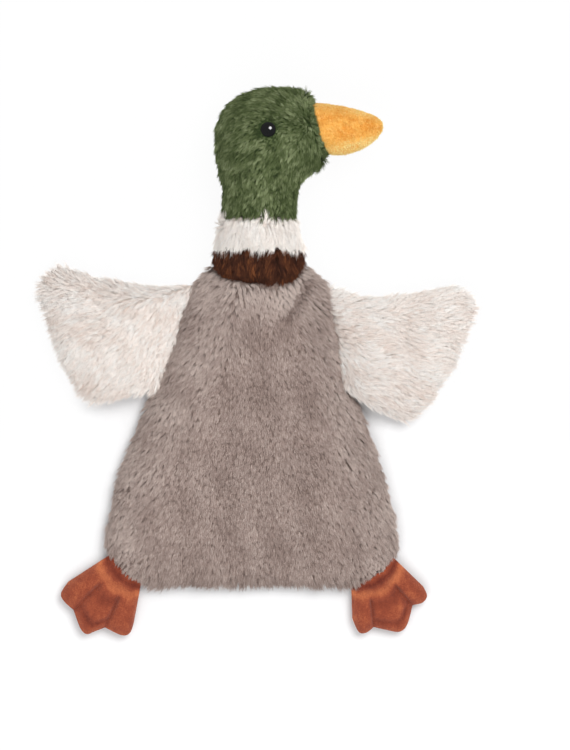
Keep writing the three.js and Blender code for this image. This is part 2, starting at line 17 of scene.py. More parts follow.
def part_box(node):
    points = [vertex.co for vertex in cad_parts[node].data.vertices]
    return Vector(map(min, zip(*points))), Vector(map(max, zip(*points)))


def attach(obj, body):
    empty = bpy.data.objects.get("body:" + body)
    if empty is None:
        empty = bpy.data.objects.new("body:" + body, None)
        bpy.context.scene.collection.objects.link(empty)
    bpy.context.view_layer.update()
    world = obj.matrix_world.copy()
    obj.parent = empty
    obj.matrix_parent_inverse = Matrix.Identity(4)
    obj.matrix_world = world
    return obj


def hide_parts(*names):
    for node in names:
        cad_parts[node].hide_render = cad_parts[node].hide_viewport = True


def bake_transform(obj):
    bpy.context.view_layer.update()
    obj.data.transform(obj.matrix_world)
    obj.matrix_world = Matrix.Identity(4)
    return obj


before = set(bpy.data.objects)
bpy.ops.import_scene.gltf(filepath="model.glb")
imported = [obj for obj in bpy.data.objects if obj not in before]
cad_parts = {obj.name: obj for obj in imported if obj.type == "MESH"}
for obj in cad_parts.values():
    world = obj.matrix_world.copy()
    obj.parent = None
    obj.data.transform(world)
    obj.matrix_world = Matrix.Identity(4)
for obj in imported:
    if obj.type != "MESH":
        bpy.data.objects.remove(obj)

LOG = logging.getLogger("duck_comforter")
MM = 0.001
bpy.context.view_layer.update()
Array = np.ndarray
Colour = tuple[float, float, float]


class Side(Enum):
    """Left and right as seen from above, with the head up."""

    LEFT = -1
    RIGHT = 1

    @property
    def word(self) -> str:
        """The side's name in piece names."""
        return self.name.lower()


# Shader nodes


class Wire:
    """An output socket on which plain maths adds Math nodes."""

    def __init__(self, graph: Graph, socket: bpy.types.NodeSocket) -> None:
        """Keeps the socket and the graph it belongs to."""
        self.graph = graph
        self.socket = socket

    def _math(self, operation: str, first: object, second: object) -> Wire:
        """Adds one Math node.

        Args:
            operation: The Math node's operation.
            first: A wire or a number.
            second: A wire or a number.

        Returns:
            The node's value.
        """
        return self.graph.add("ShaderNodeMath", {"operation": operation}, {0: first, 1: second})

    def __add__(self, other: object) -> Wire:
        """Sum."""
        return self._math("ADD", self, other)

    def __radd__(self, other: object) -> Wire:
        """Sum with the wire on the right."""
        return self._math("ADD", other, self)

    def __sub__(self, other: object) -> Wire:
        """Difference."""
        return self._math("SUBTRACT", self, other)

    def __rsub__(self, other: object) -> Wire:
        """Difference with the wire on the right."""
        return self._math("SUBTRACT", other, self)

    def __mul__(self, other: object) -> Wire:
        """Product."""
        return self._math("MULTIPLY", self, other)

    def __rmul__(self, other: object) -> Wire:
        """Product with the wire on the right."""
        return self._math("MULTIPLY", other, self)

    def smooth(self, low: float, high: float) -> Wire:
        """A soft step from 0 at low to 1 at high.

        Args:
            low: Where it starts.
            high: Where it ends.

        Returns:
            The step.
        """
        settings = {"interpolation_type": "SMOOTHSTEP"}
        values = {"Value": self, "From Min": low, "From Max": high}
        return self.graph.add("ShaderNodeMapRange", settings, values)


class Graph:
    """The nodes of one material or of the world."""

    def __init__(self, owner: bpy.types.Material | bpy.types.World) -> None:
        """Empties the owner's nodes.

        Args:
            owner: The material or world that the nodes belong to.
        """
        self.owner = owner
        owner.use_nodes = True
        self.tree = owner.node_tree
        self.tree.nodes.clear()

    @classmethod
    def named(cls, name: str) -> Graph:
        """Starts a new material of that name."""
        return cls(bpy.data.materials.new(name))

    def add(
        self,
        kind: str,
        settings: dict[str, object] | None = None,
        inputs: dict[str | int, object] | None = None,
        output: str | int = 0,
    ) -> Wire:
        """Makes a node.

        Args:
            kind: The node's type.
            settings: Its properties, set first; "stops" gives a ramp's stops.
            inputs: Values or wires by the socket's name, identifier or place.
            output: The output that is handed back.

        Returns:
            That output.
        """
        node = self.tree.nodes.new(kind)
        for key, value in (settings or {}).items():
            if key == "stops":
                self._set_stops(node.color_ramp, value)
            else:
                setattr(node, key, value)
        for key, value in (inputs or {}).items():
            socket = self._find(node.inputs, key)
            if isinstance(value, Wire):
                self.tree.links.new(value.socket, socket)
            elif isinstance(value, tuple) and len(value) == 3 and socket.type == "RGBA":
                socket.default_value = (*value, 1.0)
            else:
                socket.default_value = value
        return Wire(self, self._find(node.outputs, output)) if len(node.outputs) else None

    @staticmethod
    def _find(sockets: object, key: str | int) -> bpy.types.NodeSocket:
        """Finds a socket by its place, identifier or name.

        Args:
            sockets: A node's inputs or outputs.
            key: The place, identifier or name.

        Returns:
            The socket.
        """
        if isinstance(key, int):
            return sockets[key]
        return next((s for s in sockets if s.identifier == key), None) or sockets[key]

    @staticmethod
    def _set_stops(ramp: bpy.types.ColorRamp, stops: Sequence[tuple[float, Colour]]) -> None:
        """Gives a ramp its stops.

        Args:
            ramp: The ramp.
            stops: Places from 0 to 1 with their colours.
        """
        while len(ramp.elements) < len(stops):
            ramp.elements.new(1.0)
        for element, (place, colour) in zip(ramp.elements, stops, strict=True):
            element.position = place
            element.color = (*colour, 1.0)

    def mix(self, factor: object, first: object, second: object, blend: str = "MIX") -> Wire:
        """Mixes two colours.

        Args:
            factor: Share of the second colour.
            first: A colour or wire.
            second: A colour or wire.
            blend: The Mix node's blend type.

        Returns:
            The mixed colour.
        """
        settings = {"data_type": "RGBA", "blend_type": blend}
        values = {"Factor_Float": factor, "A_Color": first, "B_Color": second}
        return self.add("ShaderNodeMix", settings, values, "Result_Color")

    def noise(
        self, scale: float, detail: float = 2.0, rough: float = 0.5, stretch: Colour = (1, 1, 1)
    ) -> Wire:
        """Noise in the piece's own space.

        Args:
            scale: Spots per metre.
            detail: Layers of finer noise.
            rough: Weight of the finer layers.
            stretch: Scale of each axis.

        Returns:
            The noise, about 0 to 1.
        """
        place = self.add("ShaderNodeTexCoord", None, None, "Object")
        moved = self.add("ShaderNodeMapping", None, {"Vector": place, "Scale": stretch})
        values = {"Vector": moved, "Scale": scale, "Detail": detail, "Roughness": rough}
        return self.add("ShaderNodeTexNoise", None, values)

    def bump(self, height: Wire, depth: float, strength: float = 1.0) -> Wire:
        """Turns a height into a normal; depth is in metres."""
        values = {"Height": height, "Distance": depth, "Strength": strength}
        return self.add("ShaderNodeBump", None, values)

    def seen(self) -> Wire:
        """1 for what is looked at, mirrored or seen through, and 0 for light that a surface receives.

        Returns:
            That value.
        """
        rays = ("Is Camera Ray", "Is Glossy Ray", "Is Transmission Ray")
        camera, glossy, through = (self.add("ShaderNodeLightPath", None, None, ray) for ray in rays)
        return camera + glossy + through

    def surface(self, inputs: dict[str, object]) -> bpy.types.Material:
        """Ends the graph in a Principled shader with those inputs.

        Args:
            inputs: Values or wires by the socket's name.

        Returns:
            The material.
        """
        shader = self.add("ShaderNodeBsdfPrincipled", None, inputs)
        self.add("ShaderNodeOutputMaterial", None, {"Surface": shader})
        return self.owner


def srgb(red: int, green: int, blue: int) -> Colour:
    """A colour's linear values from its 0 to 255 ones."""
    shares = [c / 255 for c in (red, green, blue)]
    return tuple(c / 12.92 if c <= 0.04045 else ((c + 0.055) / 1.055) ** 2.4 for c in shares)


# Finishes


@dataclass(frozen=True)
class Finish:
    """A finish that is made once and shared by the pieces that wear it."""

    name: str

    def material(self) -> bpy.types.Material:
        """The finish's material, made when it is first asked for."""
        return bpy.data.materials.get(self.name) or self.make()

    def make(self) -> bpy.types.Material:
        """Builds the material's nodes."""
        raise NotImplementedError


@dataclass(frozen=True)
class PileFinish(Finish):
    """Fibres whose colour follows the strand: u runs from root to tip, v from dark to light; the colour
    darkens towards the root as painted shade.
    """

    dark: Colour
    middle: Colour
    light: Colour
    # share of the tip's colour left at the root: the depth of the painted shade down in the pile
    root: float
    half: float = 0.5

    def make(self) -> bpy.types.Material:
        """Builds the material's nodes.

        Returns:
            The material.
        """
        graph = Graph.named(self.name)
        strand = graph.add("ShaderNodeUVMap", {"uv_map": "OFBake"})
        along, shade = (graph.add("ShaderNodeSeparateXYZ", None, {0: strand}, axis) for axis in "XY")
        stops = ((0.0, self.dark), (self.half, self.middle), (1.0, self.light))
        tint = graph.add("ShaderNodeValToRGB", {"stops": stops}, {"Fac": shade})
        # painted shade: the colour falls from full at u 0.75 to the root share at u 0
        deep = self.root + (1.0 - self.root) * along.smooth(0.0, 0.75)
        grey = graph.add("ShaderNodeCombineXYZ", None, {0: deep, 1: deep, 2: deep})
        colour = graph.mix(1.0, tint, grey, "MULTIPLY")
        return graph.surface({"Base Color": colour, "Roughness": 0.72, "Specular IOR Level": 0.25})


@dataclass(frozen=True)
class BackingFinish(Finish):
    """The knitted ground that pile grows from, in its pile's hue made darker as painted shade down between
    the tufts.
    """

    dark: Colour
    light: Colour

    def make(self) -> bpy.types.Material:
        """Builds the material's nodes.

        Returns:
            The material.
        """
        graph = Graph.named(self.name)
        spots = graph.noise(900.0, 3.0)
        loops = graph.noise(2600.0, 1.0, 0.5, (1.0, 0.45, 1.0))
        colour = graph.mix(spots.smooth(0.3, 0.7), self.dark, self.light)
        return graph.surface(
            {
                "Base Color": colour,
                "Roughness": 0.85 + 0.1 * spots,
                "Specular IOR Level": 0.15,
                "Normal": graph.bump(loops + 0.6 * spots, 0.0006),
            }
        )


@dataclass(frozen=True)
class VelourFinish(Finish):
    """Short brushed velour with a mottled nap."""

    dark: Colour
    middle: Colour
    light: Colour

    def make(self) -> bpy.types.Material:
        """Builds the material's nodes.

        Returns:
            The material.
        """
        graph = Graph.named(self.name)
        patches = graph.noise(75.0, 2.0, 0.5)
        grain = graph.noise(900.0, 3.0, 0.65)
        blotch = graph.noise(260.0, 2.0, 0.6)
        low = graph.mix(patches.smooth(0.36, 0.66), self.middle, self.dark)
        fleck = (0.55 * grain + 0.45 * blotch).smooth(0.44, 0.66)
        colour = graph.mix(0.75 * fleck, low, self.light)
        return graph.surface(
            {
                "Base Color": colour,
                "Roughness": 0.7 + 0.2 * grain,
                "Specular IOR Level": 0.2,
                "Sheen Weight": 0.25,
                "Sheen Roughness": 0.45,
                "Normal": graph.bump(grain + 0.5 * blotch, 0.0005),
            }
        )


@dataclass(frozen=True)
class SuedeFinish(Finish):
    """Brushed suede cloth: fine grain, brushed patches and the painted light and shade of its relief, kept on
    its mesh as its tone.
    """

    dark: Colour
    middle: Colour
    light: Colour

    def make(self) -> bpy.types.Material:
        """Builds the material's nodes.

        Returns:
            The material.
        """
        graph = Graph.named(self.name)
        patches = graph.noise(110.0, 3.0, 0.55)
        grain = graph.noise(1300.0, 3.0, 0.7)
        brushed = graph.noise(420.0, 2.0, 0.6, (1.0, 0.5, 1.0))
        # the tone attribute is painted light and shade that follow the foot's relief
        painted_relief_shade = graph.add("ShaderNodeAttribute", {"attribute_name": "tone"}, None, "Fac")
        share = painted_relief_shade + 0.55 * (patches - 0.5) + 0.9 * (grain - 0.5) + 0.4 * (brushed - 0.5)
        stops = ((0.0, self.dark), (0.5, self.middle), (1.0, self.light))
        colour = graph.add("ShaderNodeValToRGB", {"stops": stops}, {"Fac": share})
        return graph.surface(
            {
                "Base Color": colour,
                "Roughness": 0.75 + 0.2 * grain,
                "Specular IOR Level": 0.2,
                "Sheen Weight": 0.2,
                "Sheen Roughness": 0.5,
                "Normal": graph.bump(grain + 0.6 * brushed, 0.0004),
            }
        )


@dataclass(frozen=True)
class ThreadFinish(Finish):
    """Twisted sewing thread."""

    dark: Colour
    light: Colour

    def make(self) -> bpy.types.Material:
        """Builds the material's nodes.

        Returns:
            The material.
        """
        graph = Graph.named(self.name)
        twist = graph.noise(2200.0, 1.0, 0.5, (1.0, 1.0, 0.3))
        return graph.surface(
            {
                "Base Color": graph.mix(twist.smooth(0.35, 0.65), self.dark, self.light),
                "Roughness": 0.6 + 0.2 * twist,
                "Normal": graph.bump(twist, 0.0002),
            }
        )


@dataclass(frozen=True)
class PlasticFinish(Finish):
    """Moulded plastic, from glossy to satin."""

    dark: Colour
    light: Colour
    rough: float
    shine: float

    def make(self) -> bpy.types.Material:
        """Builds the material's nodes.

        Returns:
            The material.
        """
        graph = Graph.named(self.name)
        cloud = graph.noise(160.0, 2.0)
        fine = graph.noise(2400.0, 2.0)
        return graph.surface(
            {
                "Base Color": graph.mix(cloud.smooth(0.3, 0.7), self.dark, self.light),
                "Roughness": self.rough + 0.06 * cloud,
                "Specular IOR Level": self.shine,
                "Normal": graph.bump(fine, 0.00002),
            }
        )


@dataclass(frozen=True)
class StuffingFinish(Finish):
    """Loose white polyester fibre."""

    dark: Colour
    light: Colour

    def make(self) -> bpy.types.Material:
        """Builds the material's nodes.

        Returns:
            The material.
        """
        graph = Graph.named(self.name)
        tufts = graph.noise(240.0, 4.0, 0.65)
        fibre = graph.noise(1500.0, 2.0, 0.6, (1.0, 0.25, 1.0))
        return graph.surface(
            {
                "Base Color": graph.mix(tufts.smooth(0.3, 0.7), self.dark, self.light),
                "Roughness": 0.85 + 0.1 * fibre,
                "Normal": graph.bump(tufts + 0.4 * fibre, 0.0012),
            }
        )


@dataclass(frozen=True)
class FloorFinish(Finish):
    """A plain white studio floor whose shadows fade towards the head, the wing tips and the far floor."""

    colour: Colour
    clear: float
    fade: tuple[float, float]
    side: tuple[float, float]
    foot: tuple[float, float]
    far: tuple[float, float]

    def make(self) -> bpy.types.Material:
        """Builds the material's nodes.

        Returns:
            The material.
        """
        graph = Graph.named(self.name)
        faint = graph.noise(6.0, 1.0)
        edge = tuple(0.995 * c for c in self.colour)
        colour = graph.mix(faint, self.colour, edge)
        values = {"Base Color": colour, "Roughness": 0.9, "Specular IOR Level": 0.0}
        lit = graph.add("ShaderNodeBsdfPrincipled", None, values)
        white = graph.add("ShaderNodeEmission", None, {"Color": (1.0, 1.0, 1.0), "Strength": 1.0})
        place = graph.add("ShaderNodeTexCoord", None, None, "Object")
        x, y = (graph.add("ShaderNodeSeparateXYZ", None, {0: place}, axis) for axis in "XY")
        away = graph.add("ShaderNodeMath", {"operation": "ABSOLUTE"}, {0: x}).smooth(*self.side)
        span = graph.add("ShaderNodeVectorMath", {"operation": "LENGTH"}, {0: place}, "Value")
        reach = span.smooth(*self.far)
        bare = (1.0 - y.smooth(*self.fade)) * (1.0 - away * y.smooth(*self.foot)) * (1.0 - reach)
        share = graph.seen() * (self.clear - self.clear * bare)
        both = graph.add("ShaderNodeMixShader", None, {0: share, 1: lit, 2: white})
        graph.add("ShaderNodeOutputMaterial", None, {"Surface": both})
        return graph.owner


TAUPE_PILE = PileFinish(
    "taupe_pile", srgb(122, 103, 95), srgb(171, 152, 144), srgb(214, 197, 188), 0.29, 0.45
)
CREAM_PILE = PileFinish("cream_pile", srgb(226, 206, 194), srgb(254, 243, 235), srgb(255, 253, 249), 0.66)
WHITE_PILE = PileFinish("white_pile", srgb(234, 217, 207), srgb(255, 246, 238), srgb(255, 252, 247), 0.84)
GREEN_PILE = PileFinish("green_pile", srgb(36, 49, 21), srgb(94, 107, 67), srgb(174, 185, 140), 0.25, 0.45)
BROWN_PILE = PileFinish("brown_pile", srgb(34, 16, 10), srgb(76, 42, 28), srgb(150, 90, 52), 0.36)
# The grounds are darker than the middle of their pile: painted shade in the gaps between tufts.
TAUPE_GROUND = BackingFinish("taupe_ground", srgb(122, 105, 97), srgb(148, 130, 122))
CREAM_GROUND = BackingFinish("cream_ground", srgb(212, 195, 184), srgb(234, 220, 210))
WHITE_GROUND = BackingFinish("white_ground", srgb(218, 203, 194), srgb(238, 226, 218))
GREEN_GROUND = BackingFinish("green_ground", srgb(40, 52, 28), srgb(60, 73, 43))
BROWN_GROUND = BackingFinish("brown_ground", srgb(40, 21, 14), srgb(58, 33, 23))
BILL_PILE = PileFinish("bill_pile", srgb(214, 124, 34), srgb(240, 190, 96), srgb(255, 241, 170), 0.8, 0.45)
BILL_VELOUR = VelourFinish("bill_velour", srgb(222, 148, 60), srgb(236, 170, 82), srgb(248, 198, 116))
FOOT_SUEDE = SuedeFinish("foot_suede", srgb(95, 39, 28), srgb(139, 67, 45), srgb(190, 109, 70))
FOOT_THREAD = ThreadFinish("foot_thread", srgb(104, 48, 32), srgb(132, 66, 45))
EYE_GLOSS = PlasticFinish("eye_gloss", srgb(6, 6, 8), srgb(11, 11, 13), 0.06, 0.15)
WASHER_PLASTIC = PlasticFinish("washer_plastic", srgb(214, 214, 210), srgb(232, 232, 228), 0.4, 0.5)
STUFFING = StuffingFinish("stuffing_fibre", srgb(214, 214, 212), srgb(240, 240, 238))
FLOOR = FloorFinish(
    "floor_white",
    (0.785, 0.785, 0.79),
    clear=0.94,
    fade=(0.055, 0.085),
    side=(0.085, 0.112),
    foot=(-0.05, 0.0),
    far=(0.25, 0.5),
)


# Meshes


def linked(name: str, data: bpy.types.ID) -> bpy.types.Object:
    """Makes an object of some data and links it to the scene.

    Args:
        name: The object's name.
        data: Its mesh, lamp or camera.

    Returns:
        The object.
    """
    item = bpy.data.objects.new(name, data)
    bpy.context.scene.collection.objects.link(item)
    return item


def put_points(mesh: bpy.types.Mesh, points: Array) -> None:
    """Gives a mesh its points, which are in millimetres."""
    mesh.vertices.foreach_set("co", (points * MM).astype(np.float32).ravel())


def make_object(name: str, points: Array, faces: Array, finish: Finish) -> bpy.types.Object:
    """Makes a smooth mesh object.

    Args:
        name: The piece's name.
        points: Places in millimetres, n by 3.
        faces: Corner numbers, m by 3 or m by 4.
        finish: What it wears.

    Returns:
        The object, linked to the scene.
    """
    mesh = bpy.data.meshes.new(name)
    count, corners = faces.shape
    mesh.vertices.add(len(points))
    put_points(mesh, points)
    mesh.loops.add(count * corners)
    mesh.loops.foreach_set("vertex_index", faces.astype(np.int32).ravel())
    mesh.polygons.add(count)
    mesh.polygons.foreach_set("loop_start", np.arange(0, count * corners, corners, dtype=np.int32))
    mesh.polygons.foreach_set("use_smooth", np.ones(count, dtype=bool))
    mesh.update(calc_edges=True)
    mesh.materials.append(finish.material())
    return linked(name, mesh)


def shown_mesh(piece: bpy.types.Object) -> bpy.types.Mesh:
    """The piece's mesh with its modifiers applied.

    Args:
        piece: The piece.

    Returns:
        A new mesh.
    """
    bpy.context.view_layer.update()
    graph = bpy.context.evaluated_depsgraph_get()
    return bpy.data.meshes.new_from_object(piece.evaluated_get(graph))


def smoothstep(value: Array, low: float, high: float) -> Array:
    """A soft step from 0 at low to 1 at high."""
    t = np.clip((value - low) / (high - low), 0.0, 1.0)
    return t * t * (3.0 - 2.0 * t)


def hump(offset: Array, width: float) -> Array:
    """A soft bump, 1 where the offset is 0, that falls off over the width."""
    return np.exp(-((offset / width) ** 2))


def unit(vectors: Array) -> Array:
    """Vectors of length one."""
    return vectors / np.maximum(np.linalg.norm(vectors, axis=-1, keepdims=True), 1e-9)


@dataclass
class Shell:
    """A closed skin in millimetres, with triangles and quads as triangles."""

    points: Array
    faces: Array

    @classmethod
    def of_mesh(cls, mesh: bpy.types.Mesh) -> Shell:
        """Reads a Blender mesh in metres.

        Args:
            mesh: The mesh.

        Returns:
            Its skin in millimetres.
        """
        points = np.empty(len(mesh.vertices) * 3, np.float32)
        mesh.vertices.foreach_get("co", points)
        mesh.calc_loop_triangles()
        faces = np.empty(len(mesh.loop_triangles) * 3, np.int32)
        mesh.loop_triangles.foreach_get("vertices", faces)
        return cls(points.reshape(-1, 3).astype(float) / MM, faces.reshape(-1, 3))

    @classmethod
    def joined(cls, parts: Sequence[Shell]) -> Shell:
        """Puts several skins into one.

        Args:
            parts: The skins.

        Returns:
            One skin with all their points and faces.
        """
        starts = np.cumsum([0] + [len(p.points) for p in parts[:-1]])
        faces = [p.faces + start for p, start in zip(parts, starts, strict=True)]
        return cls(np.concatenate([p.points for p in parts]), np.concatenate(faces))

    def normals(self) -> Array:
        """Outward direction at each point.

        Returns:
            Directions of length one, n by 3.
        """
        a, b, c = (self.points[self.faces[:, i]] for i in range(3))
        across = np.cross(b - a, c - a)
        total = np.zeros_like(self.points)
        for i in range(3):
            for axis in range(3):
                total[:, axis] += np.bincount(self.faces[:, i], across[:, axis], len(self.points))
        return unit(total)

    def smooth(self, times: int, share: float = 0.5) -> None:
        """Draws each point towards the middle of its neighbours.

        Args:
            times: How often.
            share: How far each time, from 0 to 1.
        """
        ends = np.concatenate([self.faces[:, [0, 1]], self.faces[:, [1, 2]], self.faces[:, [2, 0]]])
        count = np.maximum(np.bincount(ends[:, 0], minlength=len(self.points)), 1)
        for _ in range(times):
            sums = [np.bincount(ends[:, 0], line[ends[:, 1]], len(line)) for line in self.points.T]
            middle = np.stack(sums, 1)
            self.points += share * (middle / count[:, None] - self.points)

    def erode(self, depth: float, steps: int) -> None:
        """Draws the skin inward in small smoothed steps.

        Args:
            depth: How far in all, in millimetres.
            steps: How many steps.
        """
        for _ in range(steps):
            self.points -= self.normals() * (depth / steps)
            self.smooth(1, 0.4)


@dataclass(frozen=True)
class Seam:
    """A sewn edge that the cover reaches again after it was drawn in."""

    way: tuple[float, float]
    level: float
    reach: float

    def stretch(self, points: Array) -> None:
        """Moves the points near the edge out to the seam's level along its direction.

        Args:
            points: The skin's points, moved in place.
        """
        along = points[:, 0] * self.way[0] + points[:, 1] * self.way[1]
        gap = self.level - along.max()
        near = np.clip(1.0 - (along.max() - along) / self.reach, 0.0, 1.0) ** 1.5
        points[:, 0] += gap * near * self.way[0]
        points[:, 1] += gap * near * self.way[1]


@dataclass
class Cover:
    """A stuffed cloth cover: the outer shape of its solids, drawn in and swollen again."""

    name: str
    nodes: tuple[str, ...]
    ground: Finish
    slot: str
    voxel: float = 2.4
    inset: float = 1.6
    pressure: float = 4.0
    weight: float = 0.3
    cap: float = 1.6
    rest: float = 1.7
    fill: float = 0.6
    base: Shell | None = None
    calm: int = 2
    frames: int = 20
    ease: float = 2.5
    seams: tuple[Seam, ...] = ()
    shape: Callable[[Array, Array], Array] | None = None
    skin: Shell | None = None

    def outer(self) -> bpy.types.Object:
        """A draft of the closed outer shape of the solids, without what lies inside.

        Returns:
            The draft.
        """
        solids = Shell.joined([Shell.of_mesh(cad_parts[n].data) for n in self.nodes])
        solid = make_object(self.name + "_solid", solids.points, solids.faces, self.ground)
        remesh = solid.modifiers.new("outer", "REMESH")
        remesh.mode = "VOXEL"
        remesh.voxel_size = self.voxel * MM
        mesh = shown_mesh(solid)
        bpy.data.objects.remove(solid)
        return linked(self.name + "_draft", mesh)

    def build(self) -> bpy.types.Object:
        """Makes the swollen cover.

        Returns:
            The cover's object; its skin is kept for the pile.
        """
        if self.base is None:
            draft = self.outer()
            shell = Shell.of_mesh(draft.data)
            shell.smooth(2)
            shell.erode(self.inset, max(1, round(self.inset / 0.3)))
        else:
            shell = self.base
            draft = make_object(self.name + "_draft", shell.points, shell.faces, self.ground)
        self._swell(draft, shell)
        for seam in self.seams:
            seam.stretch(shell.points)
        if self.shape is not None:
            shell.points += self.shape(shell.points, shell.normals())
        low = self.rest + self.ease
        near = shell.points[:, 2] < low
        shell.points[near, 2] = low - self.ease * np.tanh((low - shell.points[near, 2]) / self.ease)
        put_points(draft.data, shell.points)
        finer = draft.modifiers.new("finer", "SUBSURF")
        finer.levels = finer.render_levels = 1
        mesh = shown_mesh(draft)
        bpy.data.objects.remove(draft)
        mesh.materials.clear()
        mesh.materials.append(self.ground.material())
        mesh.polygons.foreach_set("use_smooth", np.ones(len(mesh.polygons), dtype=bool))
        mesh.name = self.name
        piece = linked(self.name, mesh)
        self.skin = Shell.of_mesh(mesh)
        return piece

    def _swell(self, draft: bpy.types.Object, shell: Shell) -> None:
        """Blows the skin up as cloth and keeps each point within the cap.

        Args:
            draft: The object whose mesh has the shell's points.
            shell: The skin, moved in place.
        """
        scene = bpy.context.scene
        put_points(draft.data, shell.points)
        cloth = draft.modifiers.new("swell", "CLOTH")
        cloth.settings.use_pressure = True
        cloth.settings.uniform_pressure_force = self.pressure
        cloth.settings.effector_weights.gravity = 0.0
        cloth.settings.quality = 4
        cloth.settings.mass = self.weight
        cloth.point_cache.frame_start = 1
        cloth.point_cache.frame_end = self.frames
        for step in range(1, self.frames + 1):
            scene.frame_set(step)
        swollen = Shell.of_mesh(shown_mesh(draft))
        draft.modifiers.clear()
        scene.frame_set(1)
        move = swollen.points - shell.points
        far = np.linalg.norm(move, axis=1, keepdims=True)
        LOG.info("%s swells by %.2f mm at most", self.name, float(far.max()))
        shell.points += move * np.minimum(1.0, self.cap / np.maximum(far, 1e-9))
        shell.smooth(self.calm)


# Pile


@dataclass
class Growth:
    """How pile grows at some places: direction, angle, length, colour, density and looseness of the tufts."""

    way: Array
    lean: Array
    length: Array
    shade: Array
    thick: Array
    loose: Array | float = 0.0


@dataclass(frozen=True)
class Nap:
    """The pile of one cloth; lengths are in millimetres."""

    tufts: float
    strands: int
    width: float
    spread: float
    gather: float
    wander: float
    seed: int
    mottle: float = 0.12
    round: float = 0.4


# A strand's five points are its root, three round its knee and its tip
STRAND_FACES = np.array([[0, 1, 2], [0, 2, 3], [0, 3, 1], [2, 1, 4], [3, 2, 4], [1, 3, 4]])
STRAND_PLACES = np.array([0.01, 0.42, 0.42, 0.46, 0.99])


